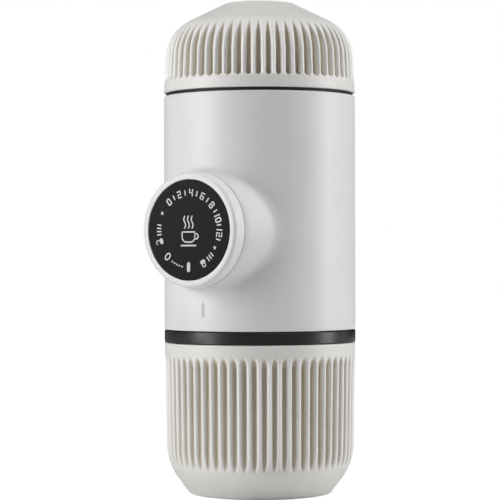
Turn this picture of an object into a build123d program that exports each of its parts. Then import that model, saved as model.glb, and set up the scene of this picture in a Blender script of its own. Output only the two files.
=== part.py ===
"""Handheld manual espresso maker: a pump body with a side piston, a screw-on water tank,
a screw-in portafilter and a drinking cup that covers the outlet.

Millimetres. +Z is up, the origin is the centre of the cup's foot, and the piston faces -Y.
"""
import os
from math import cos, radians, sin, sqrt, tan

from build123d import *

os.makedirs("parts", exist_ok=True)

# ---------------------------------------------------------------- driving sizes
# Stack, from the cup's foot up
body_radius = 30.5
cup_height = 48.15
flange_height = 3.55
flange_inset = 0.0
flange_step = 0.05
flange_step_inset = 1.2
flange_round = 0.1
body_height = 74.15
body_edge_round = 0.5
ring_edge_round = 0.25
seam_gap = 0.35
tank_seal_height = 0.8
tank_seal_inset = 0.8
tank_height = 28.7

# Clearances
slip = 0.1          # between fixed pieces that are pushed together
running = 0.3       # between pieces that move past each other
journal = 0.05      # radial clearance of a turning or sliding fit
face_gap = 0.3      # between faces that part when a joint opens

# Walls
shell_wall = 1.9
skin = 1.6          # behind the floor of a finger groove
socket_wall = 1.5
group_wall = 2.1

# Finger grooves of the tank and the cup
rib_count = 60
groove_width = 1.7
groove_depth = 2.0
groove_step = 0.1
tank_band = 3.8
cup_band = 3.9
tank_rib_turn = 3.5  # degrees the ribs stand round from the cup's and the body's zero
fade_angle = 47.8   # where the floor of the tank's grooves meets its shoulder
fade_lead = 8.0     # the grooves are cut to this angle short of it

# Tank
wall_draft = 0.55
tank_shoulder = 13.4
tank_cone_angle = 26.07
tank_top_radius = 11.0
tank_top_round = 1.5
tank_base_wall = 1.2
dome_wall = 2.4
dome_round = 6.0
neck_length = 15.8
neck_wall = 1.5
neck_drop = 1.7
socket_floor_wall = 2.4

# Cup
cup_shoulder = 18.0
cup_chamfer_angle = 53.1
cup_foot_radius = 22.5
cup_foot_round = 2.0
cup_floor = 2.2
cup_chamfer_wall = 2.3
cup_inner_round = 4.0
cup_rim_depth = 4.8
cup_rim_relief = 0.5

# Screw threads of the tank and the portafilter
thread_pitch = 3.0
thread_space = 1.5
thread_height = 1.1
thread_root = 1.5
thread_crest = 0.7
thread_sink = 0.3
thread_turns = 0.6
tank_starts = 3
tank_thread_rise = 5.4
portafilter_starts = 2
portafilter_thread_rise = 1.5

# Boss, collar and knob of the piston
pump_rise = 31.25
boss_reach = 3.2
boss_front_radius = 17.8
boss_flare_angle = 16.5
boss_blend = 3.5
knob_radius = 17.6
knob_thickness = 4.5
knob_round = 1.0
knob_flare = 0.1
rim_width = 2.2
badge_thickness = 1.2
badge_depth = 0.3
pocket_radius = 7.0
sleeve_radius = 14.6
sleeve_wall = 1.6
sleeve_length = 22.0
collar_wall = 0.8
collar_lead = 2.0
lug_height = 0.9
lug_length = 2.0
lug_angle = 24.0
lug_slack = 2.0
lock_angle = 45.0
stroke = 18.0

# Index mark under the knob
index_width = 0.9
index_length = 4.6
index_depth = 0.3
index_rise = 4.3

# Frame, barrel and valve block
bracket_y = 8.0
bracket_wall = 3.0
deck_wall = 2.2
deck_ring = 6.3
top_deck_wall = 2.8
pillar_radius = 2.2
pillar_angle = 32.5
pillar_inset = 0.5
barrel_bore = 6.5
barrel_wall = 2.5
barrel_length = 33.0
barrel_flange = 3.0
flange_width = 30.0
flange_tall = 23.0
flange_corner = 3.0
flange_screw_x = 24.0
flange_screw_z = 16.8
nose_radius = 7.0
nose_seal = 0.8
port_radius = 1.5
web_wall = 2.0
clip_wall = 0.8
clip_width = 2.6
neck_land = 0.2
plunger_neck = 4.0
plunger_groove = 0.8
ring_section = 1.6
ring_inset = 2.5
spring_wire = 1.3
spring_coils = 8
block_depth = 11.0
block_height = 24.0
block_drop = 10.4
block_round = 1.0
column_radius = 2.0
chamber_radius = 4.0
chamber_depth = 7.0
fitting_radius = 5.5
fitting_wall = 1.6
fitting_plug = 2.0
flap_wall = 0.8
poppet_radius = 3.0
poppet_wall = 1.3
valve_wire = 0.5
valve_coils = 3
barb_radius = 2.5
barb_length = 3.0
tube_wall = 1.4
screw_radius = 1.25
screw_head_radius = 2.2
screw_head = 1.6
screw_bite = 2.6
deck_screw_inset = 4.3
socket_screw_inset = 8.3
strainer_radius = 4.5
strainer_wall = 0.8
vent_offset = 8.0
vent_radius = 2.0
vent_lip = 1.2

# Group, portafilter and outlet
group_plate = 3.4
gasket_wall = 1.8
gasket_width = 4.4
screen_wall = 0.5
screen_drop = 1.2
sleeve_rise = 6.4
sleeve_ring = 2.9
basket_depth = 20.0
basket_wall = 0.5
basket_rim = 2.6
basket_rim_wall = 0.6
drip_gap = 2.0
hole_radius = 0.6
hole_ring = 4.5
portafilter_floor = 2.2
bowl_wall = 2.4
spigot_height = 4.8
grip_section = 1.6
grip_stand = 0.2
grip_sink = 0.8
outlet_spigot = 3.0
outlet_spigot_wall = 2.5
outlet_wall = 2.0
outlet_seal_height = 0.6
outlet_cone = 11.0
nozzle_radius = 5.0
nozzle_length = 7.0
outlet_bore = 2.5

# ---------------------------------------------------------------- heights and radii that follow
flange_bottom = cup_height + face_gap
flange_top = flange_bottom + flange_height
body_bottom = flange_top + seam_gap
body_top = body_bottom + body_height
tank_bottom = body_top + tank_seal_height
height = tank_bottom + tank_height
pump_z = body_bottom + pump_rise

groove_floor = body_radius - groove_depth
inner_radius = groove_floor - skin
shell_bore = body_radius - shell_wall
frame_radius = shell_bore - running
deck_screw_radius = frame_radius - deck_screw_inset
socket_screw_radius = frame_radius - socket_screw_inset

socket_radius = shell_bore - slip
socket_bore = socket_radius - socket_wall
neck_radius = socket_bore - thread_space
neck_bottom = tank_bottom - neck_length
socket_floor_top = neck_bottom - neck_drop
socket_floor = socket_floor_top - socket_floor_wall
top_deck = socket_floor - top_deck_wall

group_radius = shell_bore - slip
group_bore = group_radius - group_wall
portafilter_radius = group_bore - thread_space
basket_bore = portafilter_radius - sleeve_ring
basket_radius = basket_bore - running
basket_seat = flange_top + sleeve_rise
rim_bottom = basket_seat + slip
gasket_bottom = rim_bottom + basket_rim_wall + face_gap
plate_bottom = gasket_bottom + gasket_wall
group_top = plate_bottom + group_plate
deck_top = group_top + deck_wall
gasket_radius = portafilter_radius - slip
screen_radius = gasket_radius - gasket_width - slip
screen_bottom = plate_bottom - screen_drop

boss_front = body_radius + boss_reach
knob_back = boss_front + face_gap
knob_front = knob_back + knob_thickness
badge_radius = knob_radius - rim_width
badge_face = knob_front - badge_depth
badge_seat = badge_face - badge_thickness
neck_front = badge_seat - face_gap
clip_back = neck_front - neck_land - clip_wall
web_front = clip_back - slip
web_back = web_front - web_wall
sleeve_bore = sleeve_radius - sleeve_wall
sleeve_tail = knob_back - sleeve_length
collar_bore = sleeve_radius + running
lug_radius = sleeve_radius + lug_height
channel_radius = lug_radius + running
channel_front = sleeve_tail + lug_length + stroke + running
collar_radius = channel_radius + collar_wall
collar_tail = sleeve_tail + lug_length + collar_lead

barrel_radius = barrel_bore + barrel_wall
flange_y = bracket_y - barrel_flange
rod_radius = barrel_bore - running
rod_tail = running - flange_y
seal_radius = barrel_bore - journal
spring_radius = (barrel_radius + sleeve_bore) / 2
block_y = bracket_y + bracket_wall
column_y = block_y + block_depth / 2
block_bottom = pump_z - block_drop
block_top = block_bottom + block_height
lower_seat = block_bottom + chamber_depth
plug_radius = chamber_radius - journal
tube_bore = barb_radius + journal
tube_radius = tube_bore + tube_wall
screw_bore = screw_radius + journal

basket_bottom = rim_bottom + basket_rim_wall - basket_depth
bowl_floor = basket_bottom - drip_gap
bowl_radius = basket_bore + bowl_wall
bowl_bottom = bowl_floor - portafilter_floor
rim_bore = inner_radius + cup_rim_relief
spigot_radius = rim_bore - running - grip_stand
spigot_bottom = flange_bottom - spigot_height
outlet_spigot_radius = basket_bore - cup_rim_relief
outlet_radius = outlet_spigot_radius + slip + outlet_wall
outlet_ledge = bowl_bottom - outlet_spigot - outlet_seal_height
nozzle_top = outlet_ledge - outlet_cone
nozzle_tip = nozzle_top - nozzle_length

# The piston's axis and two planes on it: profiles are drawn as (radius, reach) on the first,
# where reach is the distance in front of the body's axis. The second faces out of the knob.
pump_axis = Axis((0, 0, pump_z), (0, -1, 0))
side_plane = Plane(origin=(0, 0, pump_z), x_dir=(1, 0, 0), z_dir=(0, 0, -1))
pump_plane = Plane(origin=(0, 0, pump_z), x_dir=(1, 0, 0), z_dir=(0, -1, 0))


# ---------------------------------------------------------------- shared shapes
def thread(wall, rise, starts, outward):
    """Helical ridges that stand on a wall of that radius; the first one starts at height rise."""
    side = 1 if outward else -1
    lead = thread_pitch * starts
    with BuildPart() as ridge:
        with BuildLine() as path:
            Helix(pitch=lead, height=lead * thread_turns, radius=wall, center=(0, 0, rise))
        with BuildSketch(Plane(origin=path.line @ 0, x_dir=(1, 0, 0), z_dir=path.line % 0)):
            with BuildLine():
                Polyline(
                    (-side * thread_sink, -thread_root / 2),
                    (side * thread_height, -thread_crest / 2),
                    (side * thread_height, thread_crest / 2),
                    (-side * thread_sink, thread_root / 2),
                    close=True,
                )
            make_face()
        sweep(path=path.line, is_frenet=True)
    with BuildPart() as ridges:
        with PolarLocations(0, starts):
            add(ridge.part)
    return ridges.part


def coil(radius, wire, length, turns):
    """A round-wire compression spring about Z, from 0 to its length."""
    with BuildPart() as made:
        with BuildLine() as path:
            Helix(
                pitch=(length - wire) / turns,
                height=length - wire,
                radius=radius,
                center=(0, 0, wire / 2),
            )
        with BuildSketch(Plane(origin=path.line @ 0, z_dir=path.line % 0)):
            Circle(wire / 2)
        sweep(path=path.line, is_frenet=True)
    return made.part


def cap_screw(length):
    """A socket cap screw about Z: the head stands on Z 0 and the shank runs down."""
    with BuildPart() as made:
        with BuildSketch():
            Circle(screw_head_radius)
        extrude(amount=screw_head)
        with BuildSketch(Plane.XY.offset(screw_head)):
            RegularPolygon(screw_radius, 6)
        extrude(amount=-screw_head / 2, mode=Mode.SUBTRACT)
        with BuildSketch():
            Circle(screw_radius)
        extrude(amount=-length)
    return made.part


def sector(inner, outer, middle, width):
    """Part of a flat ring, centred on an angle."""
    with BuildSketch() as made:
        with BuildLine():
            outside = CenterArc((0, 0), outer, middle - width / 2, width)
            inside = CenterArc((0, 0), inner, middle - width / 2, width)
            Line(outside @ 0, inside @ 0)
            Line(outside @ 1, inside @ 1)
        make_face()
    return made.sketch


def hole_pattern():
    """The round holes of a strainer: one in the middle and rings of 6, 12 and 18."""
    with BuildSketch() as made:
        Circle(hole_radius)
        for turn in (1, 2, 3):
            with PolarLocations(hole_ring * turn, 6 * turn):
                Circle(hole_radius)
    return made.sketch


# ---------------------------------------------------------------- water tank
cone = radians(tank_cone_angle)
fade = radians(fade_angle)
wall_top_radius = body_radius - wall_draft
shoulder_x = wall_top_radius - tank_shoulder
cone_start_x = shoulder_x + tank_shoulder * sin(cone)
cone_start_z = height - (cone_start_x - tank_top_radius) * tan(cone)
shoulder_z = cone_start_z - tank_shoulder * cos(cone)

# The grooves' floor leaves the wall on an arc that meets the shoulder from inside.
fade_x = shoulder_x + tank_shoulder * cos(fade)
fade_z = shoulder_z + tank_shoulder * sin(fade)
floor_arc = (groove_floor - fade_x) / (1 - cos(fade))
floor_arc_x = fade_x - floor_arc * cos(fade)
floor_arc_z = fade_z - floor_arc * sin(fade)
run_out = radians(fade_angle - fade_lead)
run_out_x = floor_arc_x + floor_arc * cos(run_out)
run_out_z = floor_arc_z + floor_arc * sin(run_out)
tank_groove_bottom = tank_bottom + tank_band
tank_groove_length = run_out_z - groove_step - tank_groove_bottom
slot_start = inner_radius - rib_count * groove_width / 15

# Cavity: its roof runs parallel to the cone.
cavity_top = height - dome_wall / cos(cone)
cavity_shoulder = cavity_top - (inner_radius - tank_top_radius) * tan(cone)
neck_bore = neck_radius - neck_wall
cavity_bottom = tank_bottom + tank_base_wall

with BuildPart() as water_tank:
    with BuildSketch(Plane.XZ):
        with BuildLine():
            Line((0, tank_bottom), (body_radius, tank_bottom))
            Line((body_radius, tank_bottom), (wall_top_radius, shoulder_z))
            RadiusArc((wall_top_radius, shoulder_z), (cone_start_x, cone_start_z), -tank_shoulder)
            Line((cone_start_x, cone_start_z), (tank_top_radius, height))
            Line((tank_top_radius, height), (0, height))
            Line((0, height), (0, tank_bottom))
        make_face()
    revolve(axis=Axis.Z)
    fillet(water_tank.edges().group_by(Axis.Z)[-1], tank_top_round)
    fillet(water_tank.edges().group_by(Axis.Z)[0], body_edge_round)
    with BuildPart(mode=Mode.PRIVATE) as tank_slot:
        with BuildSketch(Plane.YZ.offset(slot_start)):
            with Locations((0, tank_groove_bottom + tank_groove_length / 2)):
                SlotOverall(tank_groove_length, groove_width, rotation=90)
        extrude(amount=body_radius + 1 - slot_start)
    with PolarLocations(0, rib_count, start_angle=tank_rib_turn):
        add(tank_slot.part, mode=Mode.SUBTRACT)
    with BuildSketch(Plane.XZ):
        with BuildLine():
            Line((0, cavity_bottom), (groove_floor, cavity_bottom))
            Line((groove_floor, cavity_bottom), (groove_floor, floor_arc_z))
            RadiusArc((groove_floor, floor_arc_z), (run_out_x, run_out_z), -floor_arc)
            Line((run_out_x, run_out_z), (0, run_out_z))
            Line((0, run_out_z), (0, cavity_bottom))
        make_face()
    revolve(axis=Axis.Z)
    with BuildSketch(Plane.XY.offset(tank_bottom)):
        Circle(neck_radius)
    extrude(amount=-neck_length)
    with BuildSketch(Plane.XZ) as cavity:
        with BuildLine():
            Polyline(
                (0, neck_bottom),
                (neck_bore, neck_bottom),
                (neck_bore, cavity_bottom),
                (inner_radius, cavity_bottom + inner_radius - neck_bore),
                (inner_radius, cavity_shoulder),
                (tank_top_radius, cavity_top),
                (0, cavity_top),
                close=True,
            )
        make_face()
        fillet(cavity.vertices().group_by(Axis.X)[-1].sort_by(Axis.Y)[-1], dome_round)
    revolve(axis=Axis.Z, mode=Mode.SUBTRACT)
    add(thread(neck_radius, neck_bottom + tank_thread_rise, tank_starts, outward=True))
water_tank.part.label = "water_tank"
export_step(water_tank.part, "parts/water_tank.step")

with BuildPart() as tank_seal:
    with BuildSketch(Plane.XY.offset(body_top)):
        Circle(body_radius - tank_seal_inset)
        Circle(socket_bore + slip, mode=Mode.SUBTRACT)
    extrude(amount=tank_seal_height)
tank_seal.part.label = "tank_seal"
export_step(tank_seal.part, "parts/tank_seal.step")

# ---------------------------------------------------------------- drinking cup
chamfer = radians(cup_chamfer_angle)
cup_arc_x = wall_top_radius - cup_shoulder
chamfer_top_x = cup_arc_x + cup_shoulder * sin(chamfer)
chamfer_top_z = (chamfer_top_x - cup_foot_radius) * tan(chamfer)
cup_arc_z = chamfer_top_z + cup_shoulder * cos(chamfer)
floor_drop = sqrt(cup_shoulder**2 - (groove_floor - cup_arc_x) ** 2)
cup_groove_bottom = cup_arc_z - floor_drop + groove_step
cup_groove_top = cup_height - cup_band
cup_groove_length = cup_groove_top - cup_groove_bottom
cup_inner_start = cup_foot_radius + cup_floor / tan(chamfer) - cup_chamfer_wall / sin(chamfer)
cup_inner_turn = cup_floor + (inner_radius - cup_inner_start) * tan(chamfer)

with BuildPart() as cup:
    with BuildSketch(Plane.XZ):
        with BuildLine():
            Line((0, 0), (cup_foot_radius, 0))
            Line((cup_foot_radius, 0), (chamfer_top_x, chamfer_top_z))
            RadiusArc((chamfer_top_x, chamfer_top_z), (wall_top_radius, cup_arc_z), -cup_shoulder)
            Line((wall_top_radius, cup_arc_z), (body_radius, cup_height))
            Line((body_radius, cup_height), (0, cup_height))
            Line((0, cup_height), (0, 0))
        make_face()
    revolve(axis=Axis.Z)
    fillet(cup.edges().group_by(Axis.Z)[0], cup_foot_round)
    fillet(cup.edges().group_by(Axis.Z)[-1], ring_edge_round)
    with BuildPart(mode=Mode.PRIVATE) as cup_slot:
        with BuildSketch(Plane.YZ.offset(slot_start)):
            with Locations((0, cup_groove_bottom)):
                Rectangle(
                    groove_width,
                    cup_groove_length - groove_width / 2,
                    align=(Align.CENTER, Align.MIN),
                )
            with Locations((0, cup_groove_top - groove_width / 2)):
                Circle(groove_width / 2)
        extrude(amount=body_radius + 1 - slot_start)
    with PolarLocations(0, rib_count):
        add(cup_slot.part, mode=Mode.SUBTRACT)
    with BuildSketch(Plane.XY.offset(cup_groove_bottom - groove_step / 2)):
        Circle(groove_floor)
    extrude(amount=cup_groove_length + groove_width)
    with BuildSketch(Plane.XZ) as hollow:
        with BuildLine():
            Polyline(
                (0, cup_floor),
                (cup_inner_start, cup_floor),
                (inner_radius, cup_inner_turn),
                (inner_radius, cup_height),
                (0, cup_height),
                close=True,
            )
        make_face()
        fillet(hollow.vertices().group_by(Axis.X)[-1].sort_by(Axis.Y)[0], cup_inner_round)
    revolve(axis=Axis.Z, mode=Mode.SUBTRACT)
    with BuildSketch(Plane.XY.offset(cup_height)):
        Circle(rim_bore)
    extrude(amount=-cup_rim_depth, mode=Mode.SUBTRACT)
cup.part.label = "cup"
export_step(cup.part, "parts/cup.step")

# ---------------------------------------------------------------- body
with BuildPart() as body_shell:
    with BuildSketch(Plane.XY.offset(body_bottom)):
        Circle(body_radius)
    extrude(amount=body_height)
    with BuildSketch(side_plane):
        with BuildLine():
            Polyline(
                (0, 0),
                (boss_front_radius + boss_front * tan(radians(boss_flare_angle)), 0),
                (boss_front_radius, boss_front),
                (0, boss_front),
                close=True,
            )
        make_face()
    revolve(axis=pump_axis)
    fillet(body_shell.edges(Select.NEW).filter_by(GeomType.CIRCLE, reverse=True), boss_blend)
    fillet(body_shell.edges().group_by(Axis.Z)[0], ring_edge_round)
    fillet(body_shell.edges().group_by(Axis.Z)[-1], body_edge_round)
    with BuildSketch(Plane.XY.offset(body_bottom)):
        Circle(shell_bore)
    extrude(amount=body_height, mode=Mode.SUBTRACT)
    with BuildSketch(pump_plane):
        Circle(collar_radius + slip)
    extrude(amount=boss_front, mode=Mode.SUBTRACT)
    with BuildSketch(Plane.XZ.offset(body_radius - index_depth)):
        with Locations((0, body_bottom + index_rise + index_length / 2)):
            SlotOverall(index_length, index_width, rotation=90)
    extrude(amount=index_depth + 1, mode=Mode.SUBTRACT)
body_shell.part.label = "body_shell"
export_step(body_shell.part, "parts/body_shell.step")

with BuildPart() as tank_socket:
    with BuildSketch(Plane.XY.offset(socket_floor)):
        Circle(socket_radius)
    extrude(amount=body_top - socket_floor)
    with BuildSketch(Plane.XY.offset(socket_floor_top)):
        Circle(socket_bore)
    extrude(amount=body_top - socket_floor_top, mode=Mode.SUBTRACT)
    with BuildSketch(Plane.XY.offset(socket_floor)):
        with Locations((0, column_y)):
            Circle(barb_radius)
    extrude(amount=-barb_length)
    with BuildSketch(Plane.XY.offset(socket_floor_top)):
        with Locations((0, column_y)):
            Circle(port_radius)
        with Locations((0, -vent_offset)):
            Circle(vent_radius)
        with PolarLocations(socket_screw_radius, 3, start_angle=30):
            Circle(screw_bore)
    extrude(amount=-socket_floor_wall - barb_length, mode=Mode.SUBTRACT)
    female_rise = neck_bottom + tank_thread_rise + thread_pitch / 2
    add(thread(socket_bore, female_rise, tank_starts, outward=False))
tank_socket.part.label = "tank_socket"
export_step(tank_socket.part, "parts/tank_socket.step")

with BuildPart() as inlet_strainer:
    with BuildSketch(Plane.XY.offset(socket_floor_top)):
        with Locations((0, column_y)):
            Circle(strainer_radius)
            with PolarLocations(strainer_radius / 2, 6):
                Circle(hole_radius, mode=Mode.SUBTRACT)
    extrude(amount=strainer_wall)
inlet_strainer.part.label = "inlet_strainer"
export_step(inlet_strainer.part, "parts/inlet_strainer.step")

vent_stem = vent_radius - journal
with BuildPart() as vent_valve:
    with BuildSketch(Plane.XY.offset(socket_floor_top)):
        with Locations((0, -vent_offset)):
            Circle(vent_radius + vent_lip)
    extrude(amount=strainer_wall)
    with BuildSketch(Plane.XY.offset(socket_floor_top)):
        with Locations((0, -vent_offset)):
            Circle(vent_stem)
    extrude(amount=-socket_floor_wall)
    with BuildSketch(Plane.XY.offset(socket_floor)):
        with Locations((0, -vent_offset)):
            Circle(vent_radius + vent_lip / 2)
    extrude(amount=-vent_lip, taper=20)
    with BuildSketch(Plane.XY.offset(socket_floor_top + strainer_wall)):
        with Locations((0, -vent_offset)):
            Circle(hole_radius)
    extrude(amount=-strainer_wall - socket_floor_wall, mode=Mode.SUBTRACT)
vent_valve.part.label = "vent_valve"
export_step(vent_valve.part, "parts/vent_valve.step")

with BuildPart() as suction_tube:
    with BuildSketch(Plane.XY.offset(block_top + fitting_wall + slip)):
        with Locations((0, column_y)):
            Circle(tube_radius)
            Circle(tube_bore, mode=Mode.SUBTRACT)
    extrude(amount=socket_floor - block_top - fitting_wall - 2 * slip)
suction_tube.part.label = "suction_tube"
export_step(suction_tube.part, "parts/suction_tube.step")

# ---------------------------------------------------------------- frame
pillar_reach = frame_radius - pillar_radius - pillar_inset
with BuildPart() as inner_frame:
    with BuildSketch(Plane.XY.offset(group_top)):
        Circle(frame_radius)
        Circle(frame_radius - deck_ring, mode=Mode.SUBTRACT)
        with Locations((0, column_y)):
            Circle(tube_radius + running, mode=Mode.SUBTRACT)
    extrude(amount=deck_wall)
    with BuildSketch(Plane.XY.offset(top_deck)):
        Circle(frame_radius)
        with Locations((0, column_y)):
            Circle(tube_radius + running, mode=Mode.SUBTRACT)
        with Locations((0, -vent_offset)):
            Circle(vent_radius + vent_lip, mode=Mode.SUBTRACT)
    extrude(amount=top_deck_wall)
    with BuildSketch(Plane.XY.offset(group_top)):
        Circle(frame_radius)
        with Locations((0, bracket_y + bracket_wall / 2)):
            Rectangle(2 * frame_radius, bracket_wall, mode=Mode.INTERSECT)
        for angle in (-pillar_angle, 180 + pillar_angle):
            with PolarLocations(pillar_reach, 1, start_angle=angle):
                Circle(pillar_radius)
    extrude(amount=socket_floor - group_top)
    with BuildSketch(pump_plane.offset(-bracket_y)):
        Circle(nose_radius + slip)
        with GridLocations(flange_screw_x, flange_screw_z, 2, 2):
            Circle(screw_bore)
    extrude(amount=-bracket_wall, mode=Mode.SUBTRACT)
    with BuildSketch(Plane.XY.offset(deck_top)):
        with PolarLocations(deck_screw_radius, 3, start_angle=60):
            Circle(screw_bore)
    extrude(amount=-deck_wall, mode=Mode.SUBTRACT)
    with BuildSketch(Plane.XY.offset(socket_floor)):
        with PolarLocations(socket_screw_radius, 3, start_angle=30):
            Circle(screw_bore)
    extrude(amount=-top_deck_wall, mode=Mode.SUBTRACT)
inner_frame.part.label = "inner_frame"
export_step(inner_frame.part, "parts/inner_frame.step")

# ---------------------------------------------------------------- pump
with BuildPart() as pump_barrel:
    with BuildSketch(pump_plane.offset(-flange_y)):
        Circle(barrel_radius)
    extrude(amount=barrel_length)
    with BuildSketch(pump_plane.offset(-bracket_y)):
        RectangleRounded(flange_width, flange_tall, flange_corner)
    extrude(amount=barrel_flange)
    with BuildSketch(pump_plane.offset(-bracket_y)):
        Circle(nose_radius)
    extrude(amount=nose_seal - bracket_wall)
    with BuildSketch(pump_plane.offset(-flange_y)):
        Circle(barrel_bore)
    extrude(amount=barrel_length, mode=Mode.SUBTRACT)
    with BuildSketch(pump_plane.offset(-flange_y)):
        Circle(port_radius)
        with GridLocations(flange_screw_x, flange_screw_z, 2, 2):
            Circle(screw_bore)
    extrude(amount=flange_y - block_y, mode=Mode.SUBTRACT)
pump_barrel.part.label = "pump_barrel"
export_step(pump_barrel.part, "parts/pump_barrel.step")

with BuildPart() as barrel_seal:
    with BuildSketch(pump_plane.offset(-block_y)):
        Circle(nose_radius - nose_seal)
        Circle(port_radius + nose_seal, mode=Mode.SUBTRACT)
    extrude(amount=nose_seal)
barrel_seal.part.label = "barrel_seal"
export_step(barrel_seal.part, "parts/barrel_seal.step")

with BuildPart() as valve_block:
    with BuildSketch(Plane.XY.offset(block_bottom)):
        with Locations((0, column_y)):
            Rectangle(flange_width, block_depth)
    extrude(amount=block_height)
    fillet(valve_block.edges().filter_by(Axis.Z), block_round)
    with BuildSketch(Plane.XY.offset(block_bottom)):
        with Locations((0, column_y)):
            Circle(column_radius)
    extrude(amount=block_height, mode=Mode.SUBTRACT)
    with BuildSketch(Plane.XY.offset(block_bottom), Plane.XY.offset(block_top - chamber_depth)):
        with Locations((0, column_y)):
            Circle(chamber_radius)
    extrude(amount=chamber_depth, mode=Mode.SUBTRACT)
    with BuildSketch(pump_plane.offset(-block_y)):
        Circle(port_radius)
    extrude(amount=-block_depth / 2, mode=Mode.SUBTRACT)
    with BuildSketch(pump_plane.offset(-block_y)):
        with GridLocations(flange_screw_x, flange_screw_z, 2, 2):
            Circle(screw_bore)
    extrude(amount=-screw_bite - slip, mode=Mode.SUBTRACT)
valve_block.part.label = "valve_block"
export_step(valve_block.part, "parts/valve_block.step")

with BuildPart() as inlet_fitting:
    with BuildSketch(Plane.XY.offset(block_top)):
        with Locations((0, column_y)):
            Circle(fitting_radius)
    extrude(amount=fitting_wall)
    with BuildSketch(Plane.XY.offset(block_top - fitting_plug)):
        with Locations((0, column_y)):
            Circle(plug_radius)
    extrude(amount=fitting_plug)
    with BuildSketch(Plane.XY.offset(block_top + fitting_wall)):
        with Locations((0, column_y)):
            Circle(barb_radius)
    extrude(amount=barb_length)
    with BuildSketch(Plane.XY.offset(block_top - fitting_plug)):
        with Locations((0, column_y)):
            Circle(port_radius)
    extrude(amount=fitting_plug + fitting_wall + barb_length, mode=Mode.SUBTRACT)
inlet_fitting.part.label = "inlet_fitting"
export_step(inlet_fitting.part, "parts/inlet_fitting.step")

with BuildPart() as inlet_valve:
    with BuildSketch(Plane.XY.offset(block_top - fitting_plug)):
        with Locations((0, column_y)):
            Circle(poppet_radius)
    extrude(amount=-flap_wall)
inlet_valve.part.label = "inlet_valve"
export_step(inlet_valve.part, "parts/inlet_valve.step")

with BuildPart() as outlet_fitting:
    with BuildSketch(Plane.XY.offset(block_bottom)):
        with Locations((0, column_y)):
            Circle(fitting_radius)
    extrude(amount=-fitting_wall)
    with BuildSketch(Plane.XY.offset(block_bottom + fitting_plug)):
        with Locations((0, column_y)):
            Circle(plug_radius)
    extrude(amount=-fitting_plug)
    with BuildSketch(Plane.XY.offset(block_bottom - fitting_wall)):
        with Locations((0, column_y)):
            Circle(barb_radius)
    extrude(amount=-barb_length)
    with BuildSketch(Plane.XY.offset(block_bottom + fitting_plug)):
        with Locations((0, column_y)):
            Circle(port_radius)
    extrude(amount=-fitting_plug - fitting_wall - barb_length, mode=Mode.SUBTRACT)
outlet_fitting.part.label = "outlet_fitting"
export_step(outlet_fitting.part, "parts/outlet_fitting.step")

poppet_bottom = lower_seat - slip - poppet_wall
with BuildPart() as outlet_poppet:
    with BuildSketch(Plane.XY.offset(poppet_bottom)):
        with Locations((0, column_y)):
            Circle(poppet_radius)
    extrude(amount=poppet_wall)
outlet_poppet.part.label = "outlet_poppet"
export_step(outlet_poppet.part, "parts/outlet_poppet.step")

valve_spring_bottom = block_bottom + fitting_plug
valve_spring_length = poppet_bottom - valve_spring_bottom - 2 * slip
with BuildPart() as outlet_valve_spring:
    with Locations((0, column_y, valve_spring_bottom + slip)):
        add(coil(port_radius + valve_wire, valve_wire, valve_spring_length, valve_coils))
outlet_valve_spring.part.label = "outlet_valve_spring"
export_step(outlet_valve_spring.part, "parts/outlet_valve_spring.step")

with BuildPart() as delivery_tube:
    with BuildSketch(Plane.XY.offset(group_top + slip)):
        with Locations((0, column_y)):
            Circle(tube_radius)
            Circle(tube_bore, mode=Mode.SUBTRACT)
    extrude(amount=block_bottom - fitting_wall - group_top - 2 * slip)
delivery_tube.part.label = "delivery_tube"
export_step(delivery_tube.part, "parts/delivery_tube.step")

channel_angle = lug_angle + lock_angle + 2 * lug_slack
with BuildPart() as pump_collar:
    with BuildSketch(side_plane):
        with BuildLine():
            Polyline(
                (collar_bore, collar_tail),
                (collar_radius, collar_tail),
                (collar_radius, boss_front),
                (collar_bore, boss_front),
                close=True,
            )
        make_face()
    revolve(axis=pump_axis)
    with BuildSketch(pump_plane.offset(collar_tail)):
        with PolarLocations(0, 2):
            add(sector(collar_bore - slip, channel_radius, lock_angle / 2, channel_angle))
    extrude(amount=channel_front - collar_tail, mode=Mode.SUBTRACT)
pump_collar.part.label = "pump_collar"
export_step(pump_collar.part, "parts/pump_collar.step")

with BuildPart() as return_spring:
    with Locations(pump_plane.offset(slip - flange_y).location):
        add(coil(spring_radius, spring_wire, web_back + flange_y - 2 * slip, spring_coils))
return_spring.part.label = "return_spring"
export_step(return_spring.part, "parts/return_spring.step")

ring_reach = rod_tail + ring_inset
ring_floor = seal_radius - ring_section - journal
groove_reach = clip_back + clip_wall
with BuildPart() as plunger:
    with BuildSketch(side_plane):
        with BuildLine():
            Polyline(
                (0, rod_tail),
                (rod_radius, rod_tail),
                (rod_radius, ring_reach - ring_section / 2),
                (ring_floor, ring_reach - ring_section / 2),
                (ring_floor, ring_reach + ring_section / 2),
                (rod_radius, ring_reach + ring_section / 2),
                (rod_radius, web_back - slip),
                (plunger_neck, web_back - slip),
                (plunger_neck, clip_back),
                (plunger_neck - plunger_groove, clip_back),
                (plunger_neck - plunger_groove, groove_reach),
                (plunger_neck, groove_reach),
                (plunger_neck, neck_front),
                (0, neck_front),
                close=True,
            )
        make_face()
    revolve(axis=pump_axis)
plunger.part.label = "plunger"
export_step(plunger.part, "parts/plunger.step")

with BuildPart() as plunger_seal:
    with BuildSketch(side_plane):
        with Locations((seal_radius - ring_section / 2, ring_reach)):
            Circle(ring_section / 2)
    revolve(axis=pump_axis)
plunger_seal.part.label = "plunger_seal"
export_step(plunger_seal.part, "parts/plunger_seal.step")

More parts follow.
